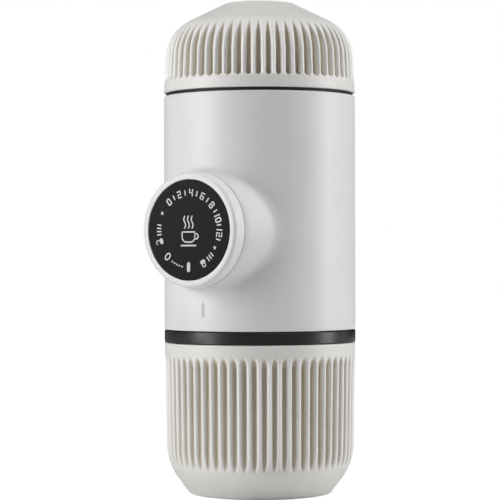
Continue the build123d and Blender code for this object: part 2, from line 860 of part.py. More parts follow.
clip_bore = plunger_neck - plunger_groove + journal
with BuildPart() as plunger_clip:
    with BuildSketch(pump_plane.offset(clip_back)):
        Circle(clip_bore + clip_width)
        Circle(clip_bore, mode=Mode.SUBTRACT)
        with Locations((0, -clip_bore)):
            Rectangle(clip_bore * 1.6, 2 * clip_bore, mode=Mode.SUBTRACT)
    extrude(amount=clip_wall)
plunger_clip.part.label = "plunger_clip"
export_step(plunger_clip.part, "parts/plunger_clip.step")

with BuildPart() as piston_knob:
    with BuildSketch(side_plane):
        with BuildLine():
            Polyline(
                (plunger_neck + journal, web_back),
                (sleeve_bore, web_back),
                (sleeve_bore, sleeve_tail),
                (sleeve_radius, sleeve_tail),
                (sleeve_radius, knob_back),
                (knob_radius + knob_flare, knob_back),
                (knob_radius, knob_front),
                (badge_radius + slip, knob_front),
                (badge_radius + slip, badge_seat),
                (pocket_radius, badge_seat),
                (pocket_radius, web_front),
                (plunger_neck + journal, web_front),
                close=True,
            )
        make_face()
    revolve(axis=pump_axis)
    fillet(piston_knob.edges().group_by(Axis.Y)[0].sort_by(SortBy.RADIUS)[-1], knob_round)
    with BuildSketch(pump_plane.offset(sleeve_tail)):
        with PolarLocations(0, 2):
            add(sector(sleeve_radius - slip, lug_radius, 0, lug_angle))
    extrude(amount=lug_length)
piston_knob.part.label = "piston_knob"
export_step(piston_knob.part, "parts/piston_knob.step")

with BuildPart() as knob_badge:
    with BuildSketch(pump_plane.offset(badge_seat)):
        Circle(badge_radius)
    extrude(amount=badge_thickness)
knob_badge.part.label = "knob_badge"
export_step(knob_badge.part, "parts/knob_badge.step")

with BuildPart() as flange_screws:
    with Locations(pump_plane.offset(-flange_y).location):
        with GridLocations(flange_screw_x, flange_screw_z, 2, 2):
            add(cap_screw(barrel_flange + bracket_wall + screw_bite))
flange_screws.part.label = "flange_screws"
export_step(flange_screws.part, "parts/flange_screws.step")

# ---------------------------------------------------------------- group
with BuildPart() as group_head:
    with BuildSketch(Plane.XY.offset(group_top)):
        Circle(group_radius)
    extrude(amount=body_bottom + slip - group_top)
    with BuildSketch(Plane.XY.offset(plate_bottom)):
        Circle(group_bore)
    extrude(amount=-group_plate - body_height, mode=Mode.SUBTRACT)
    with BuildSketch(Plane.XY.offset(group_top)):
        with Locations((0, column_y)):
            Circle(barb_radius)
    extrude(amount=barb_length)
    with BuildSketch(Plane.XY.offset(plate_bottom)):
        with Locations((0, column_y)):
            Circle(port_radius)
    extrude(amount=group_plate + barb_length, mode=Mode.SUBTRACT)
    with BuildSketch(Plane.XY.offset(plate_bottom)):
        Circle(screw_bore)
    extrude(amount=screw_bite + slip, mode=Mode.SUBTRACT)
    with BuildSketch(Plane.XY.offset(group_top)):
        with PolarLocations(deck_screw_radius, 3, start_angle=60):
            Circle(screw_bore)
    extrude(amount=-screw_bite - slip, mode=Mode.SUBTRACT)
    group_rise = flange_top + portafilter_thread_rise + thread_pitch / 2
    add(thread(group_bore, group_rise, portafilter_starts, outward=False))
group_head.part.label = "group_head"
export_step(group_head.part, "parts/group_head.step")

with BuildPart() as group_gasket:
    with BuildSketch(Plane.XY.offset(gasket_bottom)):
        Circle(gasket_radius)
        Circle(gasket_radius - gasket_width, mode=Mode.SUBTRACT)
    extrude(amount=gasket_wall)
group_gasket.part.label = "group_gasket"
export_step(group_gasket.part, "parts/group_gasket.step")

with BuildPart() as shower_screen:
    with BuildSketch(Plane.XY.offset(screen_bottom)):
        Circle(screen_radius)
        add(hole_pattern(), mode=Mode.SUBTRACT)
        Circle(screw_bore, mode=Mode.SUBTRACT)
    extrude(amount=screen_wall)
    with BuildSketch(Plane.XY.offset(screen_bottom)):
        Circle(screen_radius)
        Circle(screen_radius - screen_wall, mode=Mode.SUBTRACT)
    extrude(amount=screen_drop)
shower_screen.part.label = "shower_screen"
export_step(shower_screen.part, "parts/shower_screen.step")

with BuildPart() as screen_screw:
    with Locations(Plane(origin=(0, 0, screen_bottom), z_dir=(0, 0, -1)).location):
        add(cap_screw(screen_drop + screw_bite))
screen_screw.part.label = "screen_screw"
export_step(screen_screw.part, "parts/screen_screw.step")

with BuildPart() as group_screws:
    with Locations((0, 0, deck_top)):
        with PolarLocations(deck_screw_radius, 3, start_angle=60):
            add(cap_screw(deck_wall + screw_bite))
group_screws.part.label = "group_screws"
export_step(group_screws.part, "parts/group_screws.step")

with BuildPart() as socket_screws:
    with Locations((0, 0, socket_floor_top)):
        with PolarLocations(socket_screw_radius, 3, start_angle=30):
            add(cap_screw(socket_floor_wall + screw_bite))
socket_screws.part.label = "socket_screws"
export_step(socket_screws.part, "parts/socket_screws.step")

# ---------------------------------------------------------------- portafilter
rim_top = rim_bottom + basket_rim_wall
with BuildPart() as filter_basket:
    with BuildSketch(Plane.XZ):
        with BuildLine():
            Polyline(
                (0, basket_bottom),
                (basket_radius, basket_bottom),
                (basket_radius, rim_bottom),
                (basket_radius + basket_rim, rim_bottom),
                (basket_radius + basket_rim, rim_top),
                (basket_radius - basket_wall, rim_top),
                (basket_radius - basket_wall, basket_bottom + basket_wall),
                (0, basket_bottom + basket_wall),
                close=True,
            )
        make_face()
    revolve(axis=Axis.Z)
    with BuildSketch(Plane.XY.offset(basket_bottom)):
        add(hole_pattern())
    extrude(amount=basket_wall, mode=Mode.SUBTRACT)
filter_basket.part.label = "filter_basket"
export_step(filter_basket.part, "parts/filter_basket.step")

flange_radius = body_radius - flange_inset
step_radius = body_radius - flange_step_inset
grip_middle = flange_bottom - spigot_height / 2
outlet_inner = outlet_spigot_radius - outlet_spigot_wall
with BuildPart() as portafilter:
    with BuildSketch(Plane.XZ):
        with BuildLine():
            Polyline(
                (basket_bore, basket_seat),
                (portafilter_radius, basket_seat),
                (portafilter_radius, flange_top + flange_step),
                (step_radius, flange_top + flange_step),
                (step_radius, flange_top),
                (flange_radius, flange_top),
                (flange_radius, flange_bottom),
                (spigot_radius, flange_bottom),
                (spigot_radius, spigot_bottom),
                (bowl_radius, spigot_bottom),
                (bowl_radius, bowl_bottom),
                (outlet_spigot_radius, bowl_bottom),
                (outlet_spigot_radius, bowl_bottom - outlet_spigot),
                (outlet_inner, bowl_bottom - outlet_spigot),
                (outlet_inner, bowl_bottom),
                (outlet_bore, bowl_bottom),
                (outlet_bore, bowl_floor),
                (basket_bore, bowl_floor),
                close=True,
            )
        make_face()
    revolve(axis=Axis.Z)
    rims = portafilter.edges().filter_by(GeomType.CIRCLE).sort_by(SortBy.RADIUS)
    fillet(rims[-2:], flange_round)
    with BuildSketch(Plane.XY.offset(grip_middle - grip_section / 2)):
        Circle(spigot_radius)
        Circle(spigot_radius - grip_sink, mode=Mode.SUBTRACT)
    extrude(amount=grip_section, mode=Mode.SUBTRACT)
    male_rise = flange_top + portafilter_thread_rise
    add(thread(portafilter_radius, male_rise, portafilter_starts, outward=True))
portafilter.part.label = "portafilter"
export_step(portafilter.part, "parts/portafilter.step")

with BuildPart() as cup_grip_ring:
    with BuildSketch(Plane.XY.offset(grip_middle - grip_section / 2)):
        Circle(spigot_radius + grip_stand)
        Circle(spigot_radius - grip_sink + journal, mode=Mode.SUBTRACT)
    extrude(amount=grip_section)
cup_grip_ring.part.label = "cup_grip_ring"
export_step(cup_grip_ring.part, "parts/cup_grip_ring.step")

with BuildPart() as outlet_head:
    with BuildSketch(Plane.XZ):
        with BuildLine():
            Polyline(
                (outlet_spigot_radius + slip, bowl_bottom),
                (outlet_radius, bowl_bottom),
                (outlet_radius, outlet_ledge - outlet_wall),
                (nozzle_radius, nozzle_top),
                (nozzle_radius, nozzle_tip),
                (outlet_bore, nozzle_tip),
                (outlet_bore, nozzle_top + outlet_wall),
                (outlet_inner, outlet_ledge),
                (outlet_spigot_radius + slip, outlet_ledge),
                close=True,
            )
        make_face()
    revolve(axis=Axis.Z)
outlet_head.part.label = "outlet_head"
export_step(outlet_head.part, "parts/outlet_head.step")

with BuildPart() as outlet_seal:
    with BuildSketch(Plane.XY.offset(outlet_ledge)):
        Circle(outlet_spigot_radius)
        Circle(outlet_inner, mode=Mode.SUBTRACT)
    extrude(amount=outlet_seal_height)
outlet_seal.part.label = "outlet_seal"
export_step(outlet_seal.part, "parts/outlet_seal.step")
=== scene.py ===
# %% [markdown]
# # A hand-pumped espresso maker
# This lesson dresses a handheld espresso maker in Blender. Its exact solids come from CAD as a fixed
# frame, in metres, so every piece that is built here already knows its place. The pieces that show
# are rebuilt with finer surfaces, and the hidden ones keep their CAD shape and get a good finish.

from math import atan2, cos, pi, radians, sin, sqrt, tan

import bmesh
import bpy
import numpy as np
from mathutils import Matrix, Vector


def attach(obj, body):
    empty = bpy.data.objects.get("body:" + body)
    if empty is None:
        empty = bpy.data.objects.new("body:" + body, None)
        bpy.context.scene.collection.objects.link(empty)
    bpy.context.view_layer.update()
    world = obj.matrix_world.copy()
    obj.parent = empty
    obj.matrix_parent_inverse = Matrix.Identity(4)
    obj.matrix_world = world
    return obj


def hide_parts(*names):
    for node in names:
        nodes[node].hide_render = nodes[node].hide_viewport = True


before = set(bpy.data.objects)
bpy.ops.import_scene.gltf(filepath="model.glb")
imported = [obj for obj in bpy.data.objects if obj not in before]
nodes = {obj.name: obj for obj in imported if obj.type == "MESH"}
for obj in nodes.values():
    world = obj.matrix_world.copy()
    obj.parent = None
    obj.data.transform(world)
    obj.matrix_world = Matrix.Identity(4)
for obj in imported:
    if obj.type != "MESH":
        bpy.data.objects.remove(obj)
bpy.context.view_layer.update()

# %% [markdown]
# All sizes below are written in millimetres, as on the drawing of the real object, and are
# multiplied by `mm` where they enter Blender. The object stands on the origin with +Z up, and the
# piston's knob looks along -Y.

# %% Sizes that several pieces share
mm = 0.001
BODY_RADIUS = 30.5
CUP_TOP = 48.15
BODY_BOTTOM, BODY_TOP = 52.35, 126.4
TANK_BOTTOM, HEIGHT = 127.45, 156.0
PUMP_Z = 83.6           # height of the pump's axis
DRAFT = 0.55            # the tank and the cup get narrower by this towards their ends
FLOOR_RADIUS = 28.5     # floor of the finger grooves
INNER_RADIUS = 26.9     # inside of the tank and of the cup
NECK_RADIUS = 25.5      # the tank's neck, without its thread
RIBS = 60
print("one rib every", round(2 * pi * BODY_RADIUS / RIBS, 2), "mm")

# %% [markdown]
# Colours are written as sRGB hex values, the way a paint chart gives them. Shaders work on linear
# light, so one function turns them over. A second function adds one node with its settings and
# links, for shaders and for Geometry Nodes alike.

# %% Helpers for colours and nodes
def linear(hex_colour):
    """An sRGB hex colour as linear RGBA."""
    channels = [int(hex_colour[i:i + 2], 16) / 255 for i in (1, 3, 5)]
    lit = [c / 12.92 if c <= 0.04045 else ((c + 0.055) / 1.055) ** 2.4 for c in channels]
    return (*lit, 1.0)


def put(tree, kind, inputs=None, **settings):
    """Adds a node; an input is a value, a socket, or a node whose first output is meant."""
    node = tree.nodes.new(kind)
    for name, value in settings.items():
        setattr(node, name, value)
    for key, value in (inputs or {}).items():
        if isinstance(value, bpy.types.Node):
            value = value.outputs[0]
        if isinstance(value, bpy.types.NodeSocket):
            tree.links.new(value, node.inputs[key])
        else:
            node.inputs[key].default_value = value
    return node


MATH = "ShaderNodeMath"
MIX_A, MIX_B, MIX_RESULT = 6, 7, 2      # a Mix node's places for colours
print("white plastic is", [round(c, 3) for c in linear("#e9e8e6")])


# %% Helpers for finishes
def finish_named(name):
    """A new material, its tree and surface shader, and the places on the piece."""
    material = bpy.data.materials.new(name)
    material.use_nodes = True
    tree = material.node_tree
    place = put(tree, "ShaderNodeTexCoord").outputs["Object"]
    return material, tree, tree.nodes["Principled BSDF"], place


def vary(tree, surface, clouds, colours, grain, gloss, relief):
    """One noise varies the colour, another the roughness and the relief."""
    tint = put(tree, "ShaderNodeMix",
               {"Factor": clouds, MIX_A: linear(colours[0]), MIX_B: linear(colours[1])},
               data_type="RGBA")
    tree.links.new(tint.outputs[MIX_RESULT], surface.inputs["Base Color"])
    rough = put(tree, "ShaderNodeMapRange", {"Value": grain, **gloss})
    tree.links.new(rough.outputs[0], surface.inputs["Roughness"])
    bump = put(tree, "ShaderNodeBump", {"Height": grain, **relief})
    tree.links.new(bump.outputs[0], surface.inputs["Normal"])


# %% [markdown]
# ## Finishes
# The casing is injection-moulded ABS with a fine satin spark finish. One noise, 18 mm wide, gives
# its colour the faint clouds of a real moulding, and a second one makes the grain that such a mould
# leaves. That grain is about a tenth of a millimetre wide, too fine to show at this size, so it is
# drawn three times coarser and very shallow.

# %% Moulded plastics
def moulded_plastic(name, colour, shade, roughness, grain_mm, depth_mm, ior=1.5):
    """A moulded plastic with faint clouds in its colour and a fine grain."""
    material, tree, surface, place = finish_named(name)
    clouds = put(tree, "ShaderNodeTexNoise", {"Vector": place, "Scale": 1 / (18 * mm), "Detail": 3.0})
    grain = put(tree, "ShaderNodeTexNoise",
                {"Vector": place, "Scale": 1 / (grain_mm * mm), "Detail": 2.0})
    vary(tree, surface, clouds, (colour, shade), grain,
         {"To Min": roughness - 0.04, "To Max": roughness + 0.04},
         {"Strength": 0.35, "Distance": depth_mm * mm})
    surface.inputs["IOR"].default_value = ior
    return material


abs_white = moulded_plastic("abs_white_satin", "#e9e9e7", "#e5e5e3", 0.42, 0.3, 0.012)
pp_black = moulded_plastic("nylon_black_satin", "#1f1f21", "#18181a", 0.32, 0.3, 0.012)
pp_grey = moulded_plastic("pp_grey_moulded", "#b9bab8", "#aeb0af", 0.45, 0.3, 0.012)
acetal_grey = moulded_plastic("acetal_grey_turned", "#9da0a2", "#939699", 0.4, 0.3, 0.012)
pa_dark = moulded_plastic("nylon_dark_glassfilled", "#3c3d40", "#343538", 0.55, 0.35, 0.02)
print("moulded plastics done")

# %% [markdown]
# The tank and the cup are the same ABS. Light that bounces between the ribs makes their finger grooves
# look warmer than the crests, and here that is painted into the colour. So the shape carries two
# numbers
# from 0 to 1, made with it: `groove`, for how far a point is sunk, turns the colour towards a painted
# beige shade, and `ridge`, for how far it stands above the groove's floor, paints a highlight on the
# crests.

# %% Plastic with painted shade in its grooves and a painted highlight on its crests
def grooved_plastic(name, colour, painted_groove_shade, painted_crest_highlight):
    """The casing's plastic with painted shade in its grooves and a painted highlight on its crests,
    set by the piece's own groove and ridge numbers.
    """
    material = moulded_plastic(name, colour, colour, 0.42, 0.3, 0.012)
    tree = material.node_tree
    surface = tree.nodes["Principled BSDF"]
    base = surface.inputs["Base Color"].links[0].from_socket
    # Painted shade: the deeper a point lies in a groove, the more its colour turns to a warm beige.
    deep = put(tree, "ShaderNodeAttribute", attribute_name="groove").outputs["Fac"]
    painted_shade_share = put(tree, "ShaderNodeMapRange", {"Value": deep, "From Max": 0.4},
                  interpolation_type="SMOOTHSTEP")
    tint = put(tree, "ShaderNodeMix", {"Factor": painted_shade_share, MIX_A: base, MIX_B: linear(painted_groove_shade)},
               data_type="RGBA").outputs[MIX_RESULT]
    # Painted highlight: the higher a point stands above the groove's floor, the paler its colour.
    high = put(tree, "ShaderNodeAttribute", attribute_name="ridge").outputs["Fac"]
    lit = put(tree, "ShaderNodeMix", {"Factor": high, MIX_A: tint, MIX_B: linear(painted_crest_highlight)},
              data_type="RGBA")
    tree.links.new(lit.outputs[MIX_RESULT], surface.inputs["Base Color"])
    return material


# The beige is painted shade for the grooves, and the near-white is a painted highlight for the crests.
abs_ribbed = grooved_plastic("abs_white_ribbed", "#e9e8e5", "#cfc5b3", "#f6f6f4")
print("ribbed plastic done")

# %% [markdown]
# ## Making a piece
# Every piece ends the same way: its doubles are merged, its faces point outwards, its sharp edges
# are marked, and it rides on the body of the frame that it belongs to.

# %% Turn points and faces into a piece
def add_object(name, data):
    """A new object in the scene."""
    added = bpy.data.objects.new(name, data)
    bpy.context.scene.collection.objects.link(added)
    return added


def place_piece(name, mesh, material, body, slot, replaced=(), sharp_angle=35):
    """Merges, turns out and smooths a mesh, and puts it on a body of the frame."""
    shape = bmesh.new()
    shape.from_mesh(mesh)
    bmesh.ops.remove_doubles(shape, verts=shape.verts, dist=1e-7)
    bmesh.ops.recalc_face_normals(shape, faces=shape.faces)
    shape.to_mesh(mesh)
    open_edges = sum(not edge.is_manifold for edge in shape.edges)
    shape.free()
    mesh.shade_smooth()
    mesh.set_sharp_from_angle(angle=radians(sharp_angle))
    mesh.materials.clear()
    mesh.materials.append(material)
    piece = add_object(name, mesh)
    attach(piece, body)
    if replaced:
        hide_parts(*replaced)
    print(name, len(mesh.polygons), "faces,", open_edges, "open edges")


def make_piece(name, shape, *rest, **settings):
    """Places a piece that comes as (points in millimetres, faces)."""
    points, faces = shape
    mesh = bpy.data.meshes.new(name)
    mesh.from_pydata((np.array(points) * mm).tolist(), [], faces)
    place_piece(name, mesh, *rest, **settings)


# %% Round the corners of an outline
def rounded(corners, steps=6):
    """Corners are (x, y, radius); each is replaced by an arc of that radius."""
    outline = []
    for i, (x, y, radius) in enumerate(corners):
        here = Vector((x, y))
        if radius == 0:
            outline.append((x, y))
            continue
        back = (Vector(corners[i - 1][:2]) - here).normalized()
        ahead = (Vector(corners[(i + 1) % len(corners)][:2]) - here).normalized()
        half = back.angle(ahead) / 2
        centre = here + (back + ahead).normalized() * radius / sin(half)
        start = here + back * radius / tan(half) - centre
        turn = start.angle_signed(here + ahead * radius / tan(half) - centre)
        for k in range(steps + 1):
            arm = start.copy()
            arm.rotate(Matrix.Rotation(-turn * k / steps, 2))
            outline.append(tuple(centre + arm))
    return outline


square = rounded([(0, 0, 1), (4, 0, 1), (4, 4, 1), (0, 4, 1)], 2)
print("a square with round corners:", [(round(x, 2), round(y, 2)) for x, y in square[:3]])


# %% Sample an arc of an outline
def arc(centre_r, centre_z, radius, start, end, steps):
    """Points on an arc, angles in degrees."""
    turns = np.radians(np.linspace(start, end, steps + 1))
    return [(centre_r + radius * cos(t), centre_z + radius * sin(t)) for t in turns]


quarter = arc(0, 0, 1, 0, 90, 2)
print("a quarter of a circle:", [(round(x, 2), round(y, 2)) for x, y in quarter])

# %% [markdown]
# ## The ribbed tank and cup
# Sixty ribs run round the tank and the cup, and the finger grooves between them fade out into the
# shoulders. Cutting 60 slots with booleans is slow and leaves ragged meshes. The shape follows a
# rule instead: a half section turned about the axis, whose radius shrinks by the groove's depth
# wherever a point lies inside a slot. That is a job for Geometry Nodes. A grid is rolled up round
# the axis; each row of the grid is one point of the section, and the section carries the groove's
# depth and width at that height. From the flat floor the wall climbs as a quarter of an ellipse to
# the middle of the crest, so every crest is round and catches light from both sides.

# %% Start a tree with named inputs
def tree_with(name, sockets, result):
    """A Geometry Nodes tree with named inputs and one result, and its inputs' sockets."""
    tree = bpy.data.node_groups.new(name, "GeometryNodeTree")
    for socket, kind in sockets.items():
        tree.interface.new_socket(socket, in_out="INPUT", socket_type="NodeSocket" + kind)
    tree.interface.new_socket(result, in_out="OUTPUT", socket_type="NodeSocketGeometry")
    return tree, put(tree, "NodeGroupInput").outputs


grooving, given = tree_with("turned_with_grooves", {
    "Section": "Geometry", "Rows": "Int", "Ribs": "Int", "Steps per rib": "Int",
    "Radius at the ribs": "Float", "Floor half width": "Float", "Turned by": "Float",
    "Finish": "Material"}, "Turned")
print(len(given) - 1, "inputs")

# %% Find each point's place in the section
columns = put(grooving, MATH, {0: given["Ribs"], 1: given["Steps per rib"]}, operation="MULTIPLY")
rolled = put(grooving, MATH, {0: columns, 1: 1.0}, operation="ADD")
sheet = put(grooving, "GeometryNodeMeshGrid", {"Vertices X": rolled, "Vertices Y": given["Rows"]})
number = put(grooving, "GeometryNodeInputIndex")
row = put(grooving, MATH, {0: number, 1: given["Rows"]}, operation="MODULO")
whole = put(grooving, MATH, {0: number, 1: given["Rows"]}, operation="DIVIDE")
column = put(grooving, MATH, {0: whole}, operation="FLOOR")
sources = [(put(grooving, "GeometryNodeInputPosition"), "FLOAT_VECTOR")]
for name in ("depth", "width_share"):
    sources.append((put(grooving, "GeometryNodeInputNamedAttribute", {"Name": name}), "FLOAT"))
point, depth, open_share = [
    put(grooving, "GeometryNodeSampleIndex",
        {"Geometry": given["Section"], "Value": value, "Index": row}, data_type=kind)
    for value, kind in sources]
at = put(grooving, "ShaderNodeSeparateXYZ", {0: point})
print(len(grooving.nodes), "nodes find each point's place in the section")

# %% How deep each point lies between floor and crest
in_ribs = put(grooving, MATH, {0: column, 1: given["Steps per rib"]}, operation="DIVIDE")
shifted = put(grooving, MATH, {0: in_ribs, 1: 0.5}, operation="ADD")
in_rib = put(grooving, MATH, {0: shifted}, operation="FRACT")
off_middle = put(grooving, MATH, {0: in_rib, 1: 0.5}, operation="SUBTRACT")
pitch_turn = put(grooving, MATH, {0: 2 * pi, 1: given["Ribs"]}, operation="DIVIDE")
pitch = put(grooving, MATH, {0: pitch_turn, 1: given["Radius at the ribs"]}, operation="MULTIPLY")
across = put(grooving, MATH, {0: off_middle, 1: pitch}, operation="MULTIPLY")
away = put(grooving, MATH, {0: across}, operation="ABSOLUTE")
half_pitch = put(grooving, MATH, {0: pitch, 1: 0.5}, operation="MULTIPLY")
crest = put(grooving, MATH, {0: half_pitch, 1: open_share}, operation="MULTIPLY")
floor_edge = put(grooving, MATH, {0: given["Floor half width"], 1: open_share}, operation="MULTIPLY")
left_over = put(grooving, "ShaderNodeMapRange",
                {"Value": away, "From Min": crest, "From Max": floor_edge})
squared = put(grooving, MATH, {0: left_over, 1: left_over}, operation="MULTIPLY")
rest = put(grooving, MATH, {0: 1.0, 1: squared}, operation="SUBTRACT")
rise = put(grooving, MATH, {0: rest}, operation="SQRT")
sunk = put(grooving, MATH, {0: 1.0, 1: rise}, operation="SUBTRACT")
print(len(grooving.nodes), "nodes know the groove")

# %% Where each point goes
cut = put(grooving, MATH, {0: depth, 1: sunk}, operation="MULTIPLY")
stands = put(grooving, MATH, {0: depth, 1: cut}, operation="SUBTRACT")
reach = put(grooving, MATH, {0: at.outputs["X"], 1: cut}, operation="SUBTRACT")
turn = put(grooving, MATH, {0: in_ribs, 1: pitch_turn, 2: given["Turned by"]},
           operation="MULTIPLY_ADD")
side = put(grooving, MATH, {0: turn}, operation="SINE")
front = put(grooving, MATH, {0: turn}, operation="COSINE")
place_x = put(grooving, MATH, {0: reach, 1: front}, operation="MULTIPLY")
place_y = put(grooving, MATH, {0: reach, 1: side}, operation="MULTIPLY")
place = put(grooving, "ShaderNodeCombineXYZ", {0: place_x, 1: place_y, 2: at.outputs["Z"]})
print(len(grooving.nodes), "nodes turn the points")

# %% Keep the two numbers and close the seam
# groove and ridge later set the painted shade in the grooves and the painted highlight on the crests.
for name, amount in (("groove", cut), ("ridge", stands)):
    share = put(grooving, MATH, {0: amount, 1: 2 * mm}, operation="DIVIDE", use_clamp=True)
    sheet = put(grooving, "GeometryNodeStoreNamedAttribute",
                {"Geometry": sheet, "Name": name, "Value": share})
sheet = put(grooving, "GeometryNodeSetPosition", {"Geometry": sheet, "Position": place})
sheet = put(grooving, "GeometryNodeMergeByDistance", {"Geometry": sheet, "Distance": 0.001 * mm})
sheet = put(grooving, "GeometryNodeRealizeInstances", {"Geometry": sheet})
sheet = put(grooving, "GeometryNodeSetMaterial", {"Geometry": sheet, "Material": given["Finish"]})
put(grooving, "NodeGroupOutput", {"Turned": sheet})
print(len(grooving.nodes), "nodes in all")


# %% Run a tree on a start mesh
def grow(tree, start, inputs):
    """Runs a Geometry Nodes tree and returns the result as a plain mesh."""
    holder = add_object("holder", start)
    modifier = holder.modifiers.new("grow", "NODES")
    modifier.node_group = tree
    for socket in tree.interface.items_tree:
        if socket.in_out == "INPUT" and socket.name in inputs:
            modifier[socket.identifier] = inputs[socket.name]
    graph = bpy.context.evaluated_depsgraph_get()
    grown = bpy.data.meshes.new_from_object(holder.evaluated_get(graph),
                                            preserve_all_data_layers=True, depsgraph=graph)
    holder.modifiers.clear()
    bpy.data.objects.remove(holder)
    return grown


# %% [markdown]
# The section of the tank starts on the axis at the top of the dome, runs down the outside, under the
# threaded neck and back up the cavity to the axis. Its shoulder is an arc that is tangent to the
# wall and to the cone.

# %% The arcs of the tank
TANK_SHOULDER = 13.4    # radius of the arc between wall and cone
TOP_RADIUS = 11         # the flat disc on top
CONE_DEGREES = 26.07
cone = radians(CONE_DEGREES)
wall_end = BODY_RADIUS - DRAFT
shoulder_x = wall_end - TANK_SHOULDER
cone_x = shoulder_x + TANK_SHOULDER * sin(cone)
cone_z = HEIGHT - (cone_x - TOP_RADIUS) * tan(cone)
shoulder_z = cone_z - TANK_SHOULDER * cos(cone)
print("the shoulder starts at", round(shoulder_z, 2), "mm and the cone at", round(cone_z, 2), "mm")

# %% The tank's section
tank_outside = [(0, HEIGHT)] + rounded(
    [(0, 150, 0), (0, HEIGHT, 0), (TOP_RADIUS, HEIGHT, 1.5), (cone_x, cone_z, 0)], 4)[2:-1]
tank_outside += [(TOP_RADIUS + k, HEIGHT - k * tan(cone)) for k in (3, 6.5, 9.5)]
tank_outside += arc(shoulder_x, shoulder_z, TANK_SHOULDER, 90 - CONE_DEGREES, 0, 24)
groove_end = TANK_BOTTOM + 3.45
wall_heights = [136.5, 134.5, 133.2] + [groove_end + 1.5 - 0.15 * k for k in range(11)]
wall_heights += [groove_end - 0.3, 128.6]
tank_outside += [(BODY_RADIUS - DRAFT * (z - TANK_BOTTOM) / (shoulder_z - TANK_BOTTOM), z)
                 for z in wall_heights]
tank_outside += arc(BODY_RADIUS - 0.32, TANK_BOTTOM + 0.3, 0.3, 0, -90, 4)
tank_inside = rounded([(28, TANK_BOTTOM, 0), (NECK_RADIUS, TANK_BOTTOM, 0), (NECK_RADIUS, 111.5, 0.3),
                       (24, 111.5, 0.3), (24, 128.5, 0), (INNER_RADIUS, 131.4, 0),
                       (INNER_RADIUS, 138.5, 0), (25.2, 145.2, 5), (TOP_RADIUS, 153.1, 0),
                       (0, 153.1, 0)], 3)
tank_section = tank_outside + tank_inside
print(len(tank_section), "points in the tank's section")


# %% Turn a section into the grid's start mesh
def section_mesh(name, section, depths, shares):
    """The section as loose points, each with the groove's depth and width share."""
    mesh = bpy.data.meshes.new(name)
    mesh.from_pydata([(r * mm, 0, z * mm) for r, z in section], [], [])
    for attribute, values, unit in (("depth", depths, mm), ("width_share", shares, 1)):
        numbers = mesh.attributes.new(attribute, "FLOAT", "POINT").data
        numbers.foreach_set("value", np.array(values, dtype=float) * unit)
    return mesh


def eased(share):
    """A soft step from 0 to 1."""
    share = min(max(share, 0), 1)
    return share * share * (3 - 2 * share)


# %% [markdown]
# The grooves are deepest at the foot of the tank's shoulder. They fade along the shoulder, are gone
# just before the cone starts, and get narrower as they get shallower. They are a little deeper than
# their plain floor would be, because their round walls fill part of them.

# %% How deep the tank's grooves are
WIDE_FROM = 1.4                             # depth from which a groove has its full width
SHOULDER_DEPTH, DEEPER = 1.45, 1.15
FADE_SPAN, FADE_END = radians(50), radians(59)     # on the shoulder's arc, from the wall up


def opened(depth, narrowest):
    """The share of its width that a groove has at a depth."""
    return min(1, narrowest + (1 - narrowest) * depth / WIDE_FROM)


def tank_depth(r, z):
    """Depth of the grooves at a place of the tank's outside."""
    if z < groove_end or z > cone_z:
        return 0
    lean = atan2(z - shoulder_z, r - shoulder_x) if z > shoulder_z else 0
    full = r - FLOOR_RADIUS if z < shoulder_z else SHOULDER_DEPTH
    return full * DEEPER * eased((FADE_END - lean) / FADE_SPAN) * eased((z - groove_end) / 1.3)


tank_depths = [tank_depth(r, z) for r, z in tank_outside] + [0] * len(tank_inside)
print("deepest groove", round(max(tank_depths), 2), "mm")

# %% [markdown]
# The tank screws into the body on a neck with a three-start thread. The thread is a small ridge of
# four corners that climbs 9 mm in a turn; three of them run round the neck for 0.6 of a turn each.

# %% A ridge that climbs a round wall
def ridge(wall, rise, lead, start, turns, steps=72):
    """Points and faces of a thread ridge with closed ends."""
    corners = [(-0.3, -0.75), (1.1, -0.35), (1.1, 0.35), (-0.3, 0.75)]
    points = []
    for k in range(steps + 1):
        angle = start + 2 * pi * turns * k / steps
        height = rise + lead * turns * k / steps
        for out, up in corners:
            points.append(((wall + out) * cos(angle), (wall + out) * sin(angle), height + up))
    faces = [(4 * k + i, 4 * k + (i + 1) % 4, 4 * k + 4 + (i + 1) % 4, 4 * k + 4 + i)
             for k in range(steps) for i in range(4)]
    last = 4 * steps
    return points, faces + [(3, 2, 1, 0), (last, last + 1, last + 2, last + 3)]


def joined(*parts):
    """Several (points, faces) as one."""
    points, faces = [], []
    for more_points, more_faces in parts:
        faces += [tuple(index + len(points) for index in face) for face in more_faces]
        points += list(more_points)
    return points, faces


THREAD_START, THREAD_LEAD = 116.9, 9
neck_threads = joined(*[ridge(NECK_RADIUS, THREAD_START, THREAD_LEAD, 2 * pi * k / 3, 0.6)
                        for k in range(3)])
print(len(neck_threads[1]), "faces in the neck's thread")


# %% Make the tank
def add_to_mesh(mesh, points, faces):
    """Adds points in millimetres and faces to a mesh."""
    shape = bmesh.new()
    shape.from_mesh(mesh)
    new = [shape.verts.new(Vector(p) * mm) for p in points]
    for face in faces:
        shape.faces.new([new[index] for index in face])
    shape.to_mesh(mesh)
    shape.free()


def ribbed(name, section, depths, narrowest, turned_by):
    """Turns a section into a ribbed mesh."""
    shares = [opened(depth, narrowest) for depth in depths]
    start = section_mesh(name + "_section", section, depths, shares)
    return grow(grooving, start, {
        "Rows": len(section), "Ribs": RIBS, "Steps per rib": 18,
        "Radius at the ribs": BODY_RADIUS * mm, "Floor half width": 0.6 * mm,
        "Turned by": radians(turned_by), "Finish": abs_ribbed})


